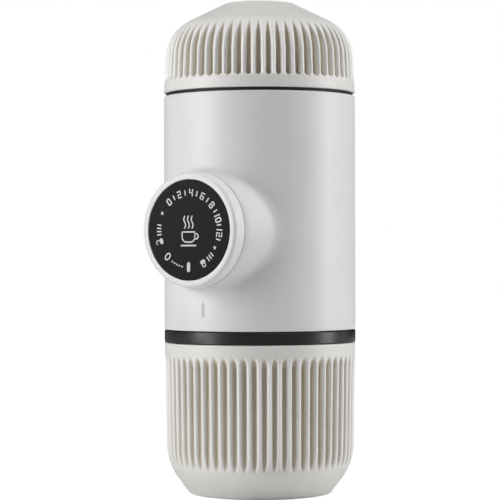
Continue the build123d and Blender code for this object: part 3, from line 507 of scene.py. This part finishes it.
RIB_SHARP = 75          # the grooves stay smooth up to this wide angle
tank_mesh = ribbed("ribbed_tank", tank_section, tank_depths, 0.3, 3.95)
add_to_mesh(tank_mesh, *neck_threads)
place_piece("ribbed_tank", tank_mesh, abs_ribbed, "tank", "water_tank", ["water_tank"], RIB_SHARP)

# %% [markdown]
# The cup has the same ribs, cut a little less deep. Its grooves start softly under the rim and run
# out at the foot, where the wall curves in past the upright floor of the grooves.

# %% The cup's section
CUP_SHOULDER = 18       # radius of the arc between wall and bevel
CUP_FOOT = 22.5
CUP_FLOOR = 2.2
GRIP_LEDGE = CUP_TOP - 4.8      # the rim is wider above this, for the grip ring
BEVEL_DEGREES = 53.1
bevel = radians(BEVEL_DEGREES)
cup_x = wall_end - CUP_SHOULDER
bevel_x = cup_x + CUP_SHOULDER * sin(bevel)
bevel_z = (bevel_x - CUP_FOOT) * tan(bevel)
cup_z = bevel_z + CUP_SHOULDER * cos(bevel)
cup_outside = [(0, 0), (14, 0)]
cup_outside += rounded([(0, 0, 0), (CUP_FOOT, 0, 2.0), (bevel_x, bevel_z, 0)], 6)[1:]
cup_outside += arc(cup_x, cup_z, CUP_SHOULDER, BEVEL_DEGREES - 90, 0, 24)[1:]
groove_top = CUP_TOP - 3.3
wall_heights = [19, 23, 27, 31, 35, 38.5] + [groove_top - 4.2 + 0.35 * k for k in range(13)]
wall_heights += [groove_top + 0.4, 47.0]
cup_outside += [(BODY_RADIUS - DRAFT * (CUP_TOP - z) / (CUP_TOP - cup_z), z) for z in wall_heights]
cup_outside += arc(BODY_RADIUS - 0.25, CUP_TOP - 0.25, 0.25, 0, 90, 3)
cup_inside = rounded([(28.5, CUP_TOP, 0), (27.4, CUP_TOP, 0.3), (27.4, GRIP_LEDGE, 0),
                      (INNER_RADIUS, GRIP_LEDGE, 0.2), (INNER_RADIUS, 9.69, 4),
                      (21.28, CUP_FLOOR, 0), (0, CUP_FLOOR, 0)], 3)
print(len(cup_outside) + len(cup_inside), "points in the cup's section")

# %% Make the cup
SHALLOWER = 0.88
cup_depths = [max(r - FLOOR_RADIUS, 0) * SHALLOWER * eased((groove_top - z) / 4.2)
              for r, z in cup_outside] + [0] * len(cup_inside)
cup_mesh = ribbed("ribbed_cup", cup_outside + cup_inside, cup_depths, 0.75, 1.0)
place_piece("ribbed_cup", cup_mesh, abs_ribbed, "drinking_cup", "cup", ["cup"], RIB_SHARP)

# %% [markdown]
# ## The smooth body
# The body is a round shell with a boss that carries the piston. Where the boss's cone meets the round
# wall, the mould has a soft fillet that a shell cut from two plain solids can't show smoothly. So the
# skin is woven as one sheet: columns leave the boss's bore like the spokes of a wheel, run over its
# lip, down the cone and the fillet and out on the wall to a rectangle, and the rest of the shell is
# closed round it. Every spoke's fillet is a curve that is tangent to the cone and to the wall.

# %% Where the spokes of the boss run
BORE, LIP_REACH, LIP_RADIUS = 16.7, 33.7, 17.8
SHELL_INNER = 28.6
HALF_PATCH = radians(75)
FOOT_ROUND, TOP_ROUND = 0.25, 0.3
PATCH_LOW, PATCH_HIGH = BODY_BOTTOM + FOOT_ROUND, BODY_TOP - TOP_ROUND
PER_SIDE = 48
boss_lean = radians(17.2)
flare = tan(boss_lean)
patch_turns = np.linspace(-HALF_PATCH, HALF_PATCH, PER_SIDE + 1)
patch_heights = np.linspace(PATCH_LOW, PATCH_HIGH, PER_SIDE + 1)
border = [(t, PATCH_LOW) for t in patch_turns] + [(HALF_PATCH, z) for z in patch_heights[1:]]
border += [(t, PATCH_HIGH) for t in patch_turns[-2::-1]]
border += [(-HALF_PATCH, z) for z in patch_heights[-2:0:-1]]
spokes = [atan2(z - PUMP_Z, BODY_RADIUS * t) for t, z in border]
print(len(spokes), "spokes")


# %% One spoke, from the bore to the wall
def wall_reach(rho, spoke, wall=BODY_RADIUS):
    """How far the round wall stands in front of the axis, at a distance from the pump's axis."""
    return sqrt(wall**2 - (rho * cos(spoke)) ** 2)


def boss_radius(reach):
    """Radius of the boss's cone at a reach in front of the axis."""
    return LIP_RADIUS + (LIP_REACH - reach) * flare


def spoke_outline(spoke, steps=10):
    """(distance from the pump's axis, reach) over the lip and down to the end of the fillet."""
    rho = LIP_RADIUS
    for _ in range(30):     # settles where the cone runs into the wall
        rho = boss_radius(wall_reach(rho, spoke))
    blend = 1.9 + 0.3 * cos(spoke) ** 2
    met = wall_reach(rho, spoke)
    top_reach = met + blend * cos(boss_lean) * min(1, (LIP_REACH - met) / 5)
    top = Vector((boss_radius(top_reach), top_reach))
    out = rho + blend
    foot = Vector((out, wall_reach(out, spoke)))
    slope = -out * cos(spoke) ** 2 / foot.y
    # the cone's line and the wall's tangent meet here
    meet_rho = (LIP_RADIUS + (LIP_REACH - foot.y + slope * out) * flare) / (1 + slope * flare)
    meet = Vector((meet_rho, foot.y + slope * (meet_rho - out)))
    curve = [tuple((1 - k) ** 2 * top + 2 * k * (1 - k) * meet + k * k * foot)
             for k in np.linspace(0, 1, steps + 1)]
    flank = [(boss_radius(reach), reach) for reach in np.linspace(LIP_REACH - 0.15, top.y, 5)[1:-1]]
    lip = rounded([(BORE, LIP_REACH - 2, 0), (BORE, LIP_REACH, 0.12),
                   (LIP_RADIUS, LIP_REACH, 0.12), (*flank[0], 0)], 2)
    return lip[1:-1] + flank + curve


print("fillet ends", round(spoke_outline(0)[-1][0], 1), "mm from the pump's axis at the side and",
      round(spoke_outline(pi / 2)[-1][0], 1), "mm above it")


# %% Places on the body, and rows into faces
def round_place(turn, z, wall):
    """A point on a round wall; turn 0 faces -Y."""
    return (wall * sin(turn), -wall * cos(turn), z)


def spoke_place(rho, reach, spoke):
    """A point at a distance and an angle round the pump's axis."""
    return (rho * cos(spoke), -reach, PUMP_Z + rho * sin(spoke))


def sin_turn(share):
    """The angle whose sine is share."""
    return atan2(share, sqrt(1 - share**2))


def spread(rho, spoke, edge, wall, steps):
    """Points on the wall from a ring round the boss to the border of the patch."""
    turn, z = sin_turn(rho * cos(spoke) / wall), PUMP_Z + rho * sin(spoke)
    return [round_place(turn + (edge[0] - turn) * k, z + (edge[1] - z) * k, wall)
            for k in np.linspace(0, 1, steps + 1)[1:]]


def woven(rows, closed=False):
    """Points and faces of a grid of rows; closed joins each row's end to its start."""
    width = len(rows[0])
    points = [p for line in rows for p in line]
    faces = [(i * width + j, i * width + (j + 1) % width,
              (i + 1) * width + (j + 1) % width, (i + 1) * width + j)
             for i in range(len(rows) - 1) for j in range(width if closed else width - 1)]
    return points, faces


# %% Weave the boss into the wall
outer_spokes, inner_spokes = [], []
for spoke, edge in zip(spokes, border):
    outline = spoke_outline(spoke)
    bore_edge = [spoke_place(BORE, wall_reach(BORE, spoke, SHELL_INNER), spoke)]
    line = bore_edge + [spoke_place(rho, reach, spoke) for rho, reach in outline]
    outer_spokes.append(line + spread(outline[-1][0], spoke, edge, BODY_RADIUS, 10))
    inner_spokes.append(bore_edge + spread(BORE, spoke, edge, SHELL_INNER, 8))
print(len(outer_spokes[0]), "points on each outer spoke")

# %% Close the shell round the patch
back_turns = np.linspace(HALF_PATCH, 2 * pi - HALF_PATCH, 85)
all_turns = [*patch_turns, *back_turns[1:]]
shell_parts = [woven([*zip(*outer_spokes)], True), woven([*zip(*inner_spokes)], True)]
for wall in (BODY_RADIUS, SHELL_INNER):
    shell_parts.append(woven([[round_place(t, z, wall) for t in back_turns] for z in patch_heights]))
for edge_z, rim_z, radius, side in ((PATCH_HIGH, BODY_TOP, TOP_ROUND, 90),
                                    (PATCH_LOW, BODY_BOTTOM, FOOT_ROUND, -90)):
    rim = arc(BODY_RADIUS - radius, edge_z, radius, 0, side, 5)
    rim += [(SHELL_INNER, rim_z), (SHELL_INNER, edge_z)]
    shell_parts.append(woven([[round_place(t, z, r) for t in all_turns] for r, z in rim]))
make_piece("pump_body_shell", joined(*shell_parts), abs_white, "pump_body", "body_shell",
           ["body_shell"], 40)

# %% [markdown]
# ## Collar, knob and badge
# These are turned parts, so each is an outline of distance from the pump's axis and reach in front
# of the body's axis, spun round the pump's. Small roundings at every edge catch the light as moulded
# plastic does.

# %% Spin an outline round the pump's axis
TURN_STEPS = 144


def spun(outline, steps=TURN_STEPS, first=0.0, whole=2 * pi):
    """Points and faces of an outline turned round the pump's axis; part of a turn gets two ends."""
    closed = whole == 2 * pi
    spots = [first + whole * k / steps for k in range(steps if closed else steps + 1)]
    rows = [[spoke_place(r, reach, t) for t in spots] for r, reach in [*outline, outline[0]]]
    points, faces = woven(rows, closed)
    if not closed:
        firsts = [k * len(spots) for k in range(len(outline))]
        faces += [tuple(firsts), tuple(k + len(spots) - 1 for k in firsts[::-1])]
    return points, faces


collar_outline = rounded([(15.8, 16, 0.1), (16.6, 16, 0.2), (16.6, LIP_REACH, 0.15),
                          (14.9, LIP_REACH, 0.3), (14.9, 32.3, 0.1), (15.8, 32.3, 0)], 5)
make_piece("knob_collar", spun(collar_outline), abs_white, "pump_body", "pump_collar",
           ["pump_collar"], 40)

# %% The knob with its sleeve and lugs
BADGE_SEAT, KNOB_FACE = 37, 38.5
knob_outline = rounded([(4.05, 33.6, 0.2), (13, 33.6, 0), (13, 12, 0.25), (14.6, 12, 0.25),
                        (14.6, 33.9, 0), (17.7, 33.9, 0.06), (17.6, KNOB_FACE, 1.0),
                        (15.5, KNOB_FACE, 0.12), (15.5, BADGE_SEAT, 0), (7, BADGE_SEAT, 0),
                        (7, 35.6, 0), (4.05, 35.6, 0.2)], 7)
lug_outline = [(14.5, 12.1), (15.4, 12.1), (15.5, 12.2), (15.5, 13.9), (15.4, 14), (14.5, 14)]
lugs = [spun(lug_outline, 8, middle - radians(12), radians(24)) for middle in (0, pi)]
make_piece("piston_knob_cap", joined(spun(knob_outline), *lugs), abs_white, "knob", "piston_knob",
           ["piston_knob"], 40)

# %% [markdown]
# The badge is a disc of black soft-touch rubber with a fine spark grain, 0.3 mm wide, and light grey
# pad printing.

# %% Rubber badge
def badge_rubber():
    """Black soft-touch rubber: a matt ground with a fine spark grain."""
    material, tree, surface, place = finish_named("rubber_black_grained")
    grain = put(tree, "ShaderNodeTexVoronoi", {"Vector": place, "Scale": 1 / (0.3 * mm)},
                feature="SMOOTH_F1")
    clouds = put(tree, "ShaderNodeTexNoise", {"Vector": place, "Scale": 1 / (3 * mm), "Detail": 4.0})
    vary(tree, surface, clouds, ("#121214", "#19191b"), grain,
         {"From Min": 0.1, "From Max": 0.6, "To Min": 0.6, "To Max": 0.75},
         {"Strength": 0.5, "Distance": 0.03 * mm})
    surface.inputs["Specular IOR Level"].default_value = 0.22
    return material


rubber_badge = badge_rubber()
BADGE_FACE = 38.2
badge_outline = rounded([(0, BADGE_SEAT, 0), (15.4, BADGE_SEAT, 0.1), (15.4, BADGE_FACE, 0.15),
                         (0, BADGE_FACE, 0)], 3)
badge_rows = [[spoke_place(r, reach, 2 * pi * k / TURN_STEPS) for k in range(TURN_STEPS)]
              for r, reach in badge_outline]
make_piece("knob_badge_disc", woven(badge_rows, True), rubber_badge, "knob", "knob_badge",
           ["knob_badge"], 40)

# %% [markdown]
# The print tells how the knob locks: it turns from the bar at the bottom, past five dots, to the
# ring, and then the piston springs out. An open and a closed padlock stand beside the ring and the
# bar, a plain dial with even numbers runs over the top, and a steaming cup says what the machine
# makes. Each printed line is a ribbon with round ends, a few hundredths of a millimetre thick.

# %% Printed lines
print_ink = moulded_plastic("ink_light_grey_printed", "#dcdcda", "#cfcfcd", 0.5, 0.25, 0.006)
INK_LOW, INK_HIGH = BADGE_FACE - 0.03, BADGE_FACE + 0.03
LINE = 0.42             # width of most printed lines


def ribbon(path, width, closed=False):
    """A printed line along (x, up) points on the badge."""
    path = [Vector(p) for p in path]
    count = len(path)
    rows = []
    for i, here in enumerate(path):
        back = path[i - 1] if i or closed else here
        ahead = path[(i + 1) % count] if i < count - 1 or closed else here
        along = (ahead - back).normalized()
        side = Vector((-along.y, along.x)) * width / 2
        if not closed and i in (0, count - 1):
            out = -along if i == 0 else along
            caps = [(here + out * sin(t) * width / 2, side * cos(t)) for t in np.linspace(0, 1.5, 5)]
            rows += caps[::-1] if i == 0 else caps
        else:
            rows.append((here, side))
    if closed:
        rows.append(rows[0])
    corners = []
    for middle, side in rows:
        left, right = middle + side, middle - side
        corners.append([(p.x, -reach, PUMP_Z + p.y)
                        for p, reach in ((left, INK_LOW), (left, INK_HIGH),
                                         (right, INK_HIGH), (right, INK_LOW))])
    points, faces = woven(corners, True)
    if not closed:
        last = len(points)
        faces += [(0, 1, 2, 3), (last - 1, last - 2, last - 3, last - 4)]
    return points, faces


# %% Stars and padlocks
def at_angle(radius, degrees):
    """A place on the dial; 0 degrees is to the right and 90 is up."""
    return (radius * cos(radians(degrees)), radius * sin(radians(degrees)))


def turned_path(path, radius, degrees):
    """Moves a small drawing onto the dial, its top pointing outwards from the middle."""
    lean = Matrix.Rotation(radians(degrees - 90), 2)
    return [tuple(Vector(at_angle(radius, degrees)) + lean @ Vector(p)) for p in path]


def star(radius, degrees, size=0.72):
    """A five-pointed star as a thin plate."""
    middle = at_angle(radius, degrees)
    tips = [size * (0.45 if k % 2 else 1) for k in range(10)]
    rim = [(middle[0] + tip * sin(pi * k / 5), middle[1] + tip * cos(pi * k / 5))
           for k, tip in enumerate(tips)]
    points = [(x, -reach, PUMP_Z + z) for reach in (INK_LOW, INK_HIGH) for x, z in rim]
    faces = [tuple(range(9, -1, -1)), tuple(range(10, 20))]
    return points, faces + [(k, (k + 1) % 10, 10 + (k + 1) % 10, 10 + k) for k in range(10)]


def padlock(radius, degrees, lifted):
    """A padlock 1.9 mm wide; its shackle is lifted when it is open."""
    case = [(-0.35, -0.5), (0.35, -0.5)]
    bow = [(-0.55, 0.1 + 2.5 * lifted)] + arc(0, 0.6 + lifted, 0.55, 180, 0, 8) + [(0.55, 0.1)]
    return [ribbon(turned_path(case, radius, degrees), 1.2),
            ribbon(turned_path(bow, radius, degrees), 0.34)]


stars = [star(11.4, 152.7), star(11.1, -29.5)]
locks = padlock(11.5, 198, 0.35) + padlock(11.5, -62, 0)
print(len(stars), "stars and", len(locks) // 2, "padlocks")

# %% Numbers
W, H = 0.55, 0.95       # half the width and half the height of a digit
BOX = [(-W, -H), (W, -H), (W, H), (-W, H)]
SEGMENTS = {
    "0": [BOX],
    "1": [[(0, -H), (0, H)]],
    "2": [[(-W, H), (W, H), (W, 0), (-W, 0), (-W, -H), (W, -H)]],
    "4": [[(-W, H), (-W, 0), (0.5, 0)], [(W, H), (W, -H)]],
    "6": [[(W, H), (-W, H), (-W, -H), (W, -H), (W, 0), (-0.5, 0)]],
    "8": [BOX, [(-0.5, 0), (0.5, 0)]],
}


def number_print(text, radius, degrees):
    """A plain number, its top pointing outwards from the middle; only boxes are closed lines."""
    lines = []
    for place, digit in enumerate(text):
        aside = (place - (len(text) - 1) / 2) * 1.45
        for path in SEGMENTS[digit]:
            box = path is BOX
            moved = [(x + aside, y) for x, y in path]
            bent = rounded([(x, y, 0.3) for x, y in moved], 3) if box else moved
            lines.append(ribbon(turned_path(bent, radius, degrees), LINE, box))
    return lines


numbers = [line for k in range(7) for line in number_print(str(2 * k), 11.4, 131 - 22.5 * k)]
print(len(numbers), "lines in seven numbers")

# %% Bar, ring and steaming cup
bar = ribbon([at_angle(10.4, -91), at_angle(12.3, -91)], 1.2)
oval = [(0.72 * cos(t), 1.15 * sin(t)) for t in np.linspace(0, 2 * pi, 33)[:-1]]
ring = ribbon([(x - 8.1, y - 8.1) for x, y in turned_path(oval, 0, 45)], LINE, True)
bowl = [(-2.6, -0.6), (-2.6, -1.9)] + arc(-1.0, -2.1, 1.6, 187, 270, 6)
bowl += arc(0.6, -2.1, 1.6, -90, -7, 6) + [(2.2, -1.9), (2.2, -0.6), (-2.6, -0.6)]
handle = [(2.2, -1.1)] + arc(2.6, -1.95, 0.85, 75, -75, 8) + [(2.05, -2.75)]
steam = [[(x + 0.34 * sin(2 * pi * k / 14), 0.6 + 3.6 * k / 14) for k in range(15)]
         for x in (-1.6, -0.2, 1.2)]
saucer = ribbon([(-2.9, -4.75), (2.5, -4.75)], 0.5)
drawing = [ribbon(bowl, LINE), ribbon(handle, LINE), saucer]
drawing += [ribbon(path, LINE) for path in steam]
make_piece("badge_print", joined(bar, ring, *stars, *locks, *numbers, *drawing), print_ink, "knob",
           "knob_badge", sharp_angle=30)

# %% [markdown]
# The dots and the scale's ticks repeat along an arc, so one more tree places a mark as many times as
# it is told, from one angle to another, and turns each mark towards the middle.

# %% Marks along an arc
marking, told = tree_with("marks_on_an_arc", {
    "Mark": "Geometry", "Count": "Int", "Arc radius": "Float", "First angle": "Float",
    "Last angle": "Float", "Height of the middle": "Float", "Finish": "Material"}, "Marks")
dial = put(marking, "GeometryNodeMeshLine", {"Count": told["Count"]})
which = put(marking, "GeometryNodeInputIndex")
gaps = put(marking, MATH, {0: told["Count"], 1: 1.0}, operation="SUBTRACT")
angle = put(marking, "ShaderNodeMapRange",
            {"Value": which, "From Max": gaps,
             "To Min": told["First angle"], "To Max": told["Last angle"]})
cosine = put(marking, MATH, {0: angle}, operation="COSINE")
beside = put(marking, MATH, {0: cosine, 1: told["Arc radius"]}, operation="MULTIPLY")
sine = put(marking, MATH, {0: angle}, operation="SINE")
above = put(marking, MATH, {0: sine, 1: told["Arc radius"], 2: told["Height of the middle"]},
            operation="MULTIPLY_ADD")
spot = put(marking, "ShaderNodeCombineXYZ", {0: beside, 2: above})
dial = put(marking, "GeometryNodeSetPosition", {"Geometry": dial, "Position": spot})
lean = put(marking, MATH, {0: pi / 2, 1: angle}, operation="SUBTRACT")
tilt = put(marking, "ShaderNodeCombineXYZ", {1: lean})
dial = put(marking, "GeometryNodeInstanceOnPoints",
           {"Points": dial, "Instance": told["Mark"], "Rotation": tilt})
dial = put(marking, "GeometryNodeRealizeInstances", {"Geometry": dial})
dial = put(marking, "GeometryNodeSetMaterial", {"Geometry": dial, "Material": told["Finish"]})
put(marking, "NodeGroupOutput", {"Marks": dial})
print(len(marking.nodes), "nodes place the marks")


# %% Dots and ticks
def marks(name, length, width, count, radius, first, last):
    """Printed marks from one angle to another."""
    points, faces = ribbon([(0, -length / 2), (0, length / 2)], width)
    one = bpy.data.meshes.new(name + "_one")
    one.from_pydata([(x * mm, y * mm, (z - PUMP_Z) * mm) for x, y, z in points], [], faces)
    mesh = grow(marking, one, {
        "Count": count, "Arc radius": radius * mm, "First angle": radians(first),
        "Last angle": radians(last), "Height of the middle": PUMP_Z * mm, "Finish": print_ink})
    place_piece(name, mesh, print_ink, "knob", "knob_badge", sharp_angle=30)


marks("badge_dots", 0.02, 0.58, 5, 11.5, -123.5, -103.4)
for name, count, first, last in (("badge_scale_ticks", 7, 119.75, -15.25),
                                 ("badge_open_ticks", 4, 187, 172),
                                 ("badge_shut_ticks", 3, -51, -41)):
    marks(name, 1.3, LINE, count, 11.4, first, last)

# %% [markdown]
# The index mark under the knob is a shallow groove. A thin grey capsule that follows the body's round
# wall and reaches a little over the groove's edges is painted shade for it.

# %% The index mark
MARK_X, MARK_HALF = -0.4, 0.53
MARK_LOW, MARK_HIGH = 57.25, 60.75      # middles of the capsule's round ends


def index_plate():
    """A capsule from a little inside the wall to a hair in front of it."""
    outline = [(MARK_LOW - MARK_HALF * cos(t), MARK_HALF * sin(t))
               for t in np.linspace(0.15, pi / 2, 6)]
    outline += [(MARK_HIGH + MARK_HALF * sin(t), MARK_HALF * cos(t))
                for t in np.linspace(0, pi / 2 - 0.15, 6)]
    front, back = BODY_RADIUS + 0.015, BODY_RADIUS - 0.1
    rows = []
    for height, half in outline:
        line = np.linspace(-half, half, 7) + MARK_X
        rows.append([(x, -sqrt(front**2 - x * x), height) for x in line]
                    + [(x, -sqrt(back**2 - x * x), height) for x in line[::-1]])
    points, faces = woven(rows, True)
    last = len(points)
    return points, faces + [tuple(range(14)), tuple(range(last - 1, last - 15, -1))]


# This grey is painted shade for the shallow index groove.
index_groove_shade = moulded_plastic("painted_shade_index_groove", "#c7c6c4", "#bfbebc", 0.5, 0.25, 0.006)
make_piece("index_mark", index_plate(), index_groove_shade, "pump_body", "body_shell")

# %% [markdown]
# ## The pieces that keep their CAD shape
# Everything inside, and the dark ring between body and cup, is right as it is. Its solids get smooth
# shading with sharp edges, and a finish each: steel that was drawn, turned or wound, rubber,
# silicone and filled nylon.

# %% Metals
def steel(name, colour, shade, roughness, stretch, depth_mm):
    """Stainless steel with fine lines; they run long where stretch is small."""
    material, tree, surface, place = finish_named(name)
    drawn = put(tree, "ShaderNodeMapping", {"Vector": place, "Scale": stretch})
    lines = put(tree, "ShaderNodeTexNoise", {"Vector": drawn, "Scale": 1 / (0.4 * mm), "Detail": 3.0})
    vary(tree, surface, lines, (colour, shade), lines,
         {"To Min": roughness - 0.07, "To Max": roughness + 0.07},
         {"Strength": 0.3, "Distance": depth_mm * mm})
    surface.inputs["Metallic"].default_value = 1.0
    return material


steel_drawn = steel("stainless_drawn", "#c9c8c5", "#b4b3b0", 0.3, (0.1, 0.1, 1.0), 0.01)
steel_turned = steel("stainless_turned", "#c4c4c2", "#adadab", 0.25, (1.0, 1.0, 0.1), 0.01)
steel_wound = steel("spring_steel_wound", "#a9a8a6", "#8f8e8c", 0.32, (0.3, 0.3, 0.3), 0.008)
steel_polished = steel("stainless_polished", "#d2d1ce", "#c5c4c1", 0.16, (1.0, 0.1, 1.0), 0.004)
print("four steels")


# %% Rubber and silicone
def elastomer(name, colour, shade, roughness, clear=0.0):
    """Moulded rubber, matt; clear lets light into silicone."""
    material = moulded_plastic(name, colour, shade, roughness, 0.4, 0.01, ior=1.41)
    surface = material.node_tree.nodes["Principled BSDF"]
    surface.inputs["Subsurface Weight"].default_value = clear
    surface.inputs["Subsurface Scale"].default_value = 1.5 * mm
    return material


rubber_black = elastomer("nbr_rubber_black", "#161617", "#202021", 0.6)
silicone_grey = elastomer("silicone_grey", "#8f9192", "#84878a", 0.5, 0.1)
silicone_milky = elastomer("silicone_milky", "#dcdedd", "#cfd2d2", 0.35, 0.6)
print("three elastomers")

# %% Dress the CAD pieces
finishes = {
    abs_white: ["tank_socket"],
    pp_black: ["portafilter", "outlet_head", "group_head"],
    pa_dark: ["inner_frame"],
    pp_grey: ["valve_block", "pump_barrel"],
    acetal_grey: ["inlet_fitting", "outlet_fitting", "outlet_poppet", "plunger"],
    steel_drawn: ["filter_basket", "inlet_strainer", "shower_screen"],
    steel_turned: ["screen_screw", "flange_screws", "group_screws", "socket_screws"],
    steel_wound: ["return_spring", "outlet_valve_spring"],
    steel_polished: ["plunger_clip"],
    rubber_black: ["tank_seal", "cup_grip_ring", "plunger_seal", "barrel_seal"],
    silicone_grey: ["group_gasket", "outlet_seal", "vent_valve", "inlet_valve"],
    silicone_milky: ["suction_tube", "delivery_tube"],
}
for material, names in finishes.items():
    for name in names:
        solid = nodes[name]
        for slot in solid.material_slots:
            slot.link = "OBJECT"
            slot.material = material
        solid.data.polygons.foreach_set("use_smooth", [True] * len(solid.data.polygons))
        weld = solid.modifiers.new("weld", "WELD")
        weld.merge_threshold = 0.001 * mm
        split = solid.modifiers.new("sharp_edges", "EDGE_SPLIT")
        split.split_angle = radians(30)
print(sum(len(names) for names in finishes.values()), "CAD pieces dressed")

# %% [markdown]
# ## The studio
# The object stands on a pale floor against white. The camera is level with the middle of the object,
# far enough away that its sides look almost parallel. A tall softbox on the left and one far round
# to the right light the flanks, which leaves a soft darker band down the front. Two weaker ones from
# above light the dome, the top of the boss and the right shoulder. The room itself gives almost
# nothing, so the lamps alone model the shapes. Everything from here on is in metres.

# %% The floor's finish
WHITE = (1, 1, 1, 1)


def seen_directly(tree):
    """1 for rays straight from the camera or through glass, 0 for all others."""
    seen = put(tree, "ShaderNodeLightPath").outputs
    return put(tree, MATH, {0: seen["Is Camera Ray"], 1: seen["Is Transmission Ray"]},
               operation="MAXIMUM")


def floor_finish():
    """Pale matt floor. It looks nearly white, keeps the shadow and turns into the white beyond."""
    material, tree, surface, place = finish_named("floor_pale_paper")
    fibre = put(tree, "ShaderNodeTexNoise", {"Vector": place, "Scale": 400.0, "Detail": 2.0})
    tint = put(tree, "ShaderNodeMix",
               {"Factor": fibre, MIX_A: linear("#e9e9e9"), MIX_B: linear("#e6e6e6")},
               data_type="RGBA")
    tree.links.new(tint.outputs[MIX_RESULT], surface.inputs["Base Color"])
    surface.inputs["Roughness"].default_value = 0.9
    far = put(tree, "ShaderNodeVectorMath", {0: place}, operation="LENGTH").outputs["Value"]
    lift = put(tree, "ShaderNodeMapRange",
               {"Value": far, "From Min": 0.12, "From Max": 0.7, "To Min": 0.62, "To Max": 1.0},
               interpolation_type="SMOOTHSTEP")
    glow = put(tree, "ShaderNodeEmission", {"Color": WHITE, "Strength": lift})
    white = put(tree, "ShaderNodeAddShader", {0: surface.outputs[0], 1: glow})
    shown = put(tree, "ShaderNodeMixShader", {0: seen_directly(tree), 1: surface.outputs[0], 2: white})
    tree.links.new(shown.outputs[0], tree.nodes["Material Output"].inputs["Surface"])
    return material


floor_paper = floor_finish()
print("the floor's finish has", len(floor_paper.node_tree.nodes), "nodes")

# %% Floor and surroundings
FLOOR_HALF = 6
floor_mesh = bpy.data.meshes.new("floor")
corners = [(x * FLOOR_HALF, y * FLOOR_HALF, 0) for x, y in ((-1, -1), (1, -1), (1, 1), (-1, 1))]
floor_mesh.from_pydata(corners, [], [(0, 1, 2, 3)])
floor_mesh.materials.append(floor_paper)
floor = add_object("floor", floor_mesh)

scene = bpy.context.scene
scene.world = scene.world or bpy.data.worlds.new("studio")
scene.world.use_nodes = True
sky = scene.world.node_tree
sky.nodes.clear()
room = put(sky, "ShaderNodeBackground", {"Color": WHITE, "Strength": 0.02})
beyond = put(sky, "ShaderNodeBackground", {"Color": WHITE, "Strength": 1.0})
shown = put(sky, "ShaderNodeMixShader", {0: seen_directly(sky), 1: room, 2: beyond})
put(sky, "ShaderNodeOutputWorld", {"Surface": shown})
print("floor and surroundings")

# %% Camera
CAMERA_TURN = radians(34.45)
CAMERA_ROLL = radians(-0.16)
CAMERA_DISTANCE, CAMERA_HEIGHT = 0.6842, 0.07605
camera_data = bpy.data.cameras.new("camera")
camera_data.sensor_width = 36
camera_data.lens = 154
camera_data.clip_end = 50
camera_data.shift_x, camera_data.shift_y = -0.0197, 0.0090
camera = add_object("camera", camera_data)
camera.location = (CAMERA_DISTANCE * sin(CAMERA_TURN), -CAMERA_DISTANCE * cos(CAMERA_TURN),
                   CAMERA_HEIGHT)
level = Matrix.Rotation(CAMERA_TURN, 3, "Z") @ Matrix.Rotation(pi / 2, 3, "X")
camera.rotation_euler = (level @ Matrix.Rotation(CAMERA_ROLL, 3, "Z")).to_euler()
scene.camera = camera
scene.view_settings.view_transform = "Standard"
print("a lens of", camera_data.lens, "mm")

# %% Softboxes
AIM = Vector((0, 0, 0.08))      # the middle of the object


def softbox(name, turn, height, distance, size, power):
    """An area light aimed at the middle of the object; turn is seen from the camera."""
    data = bpy.data.lights.new(name, "AREA")
    data.shape = "RECTANGLE"
    data.size, data.size_y = size
    data.energy = power
    light = add_object(name, data)
    where = CAMERA_TURN + radians(turn)
    light.location = (distance * sin(where), -distance * cos(where), height)
    light.rotation_euler = (AIM - light.location).to_track_quat("-Z", "Y").to_euler()


softbox("softbox_left", -69, 0.25, 1.0, (0.5, 1.0), 9.6)
softbox("softbox_right", 87, 0.25, 1.0, (0.35, 1.0), 7.4)
softbox("softbox_top", -35, 1.2, 0.2, (0.8, 0.8), 3.6)
softbox("softbox_top_right", 85, 1.0, 0.6, (0.6, 0.6), 3.2)
print("four softboxes")
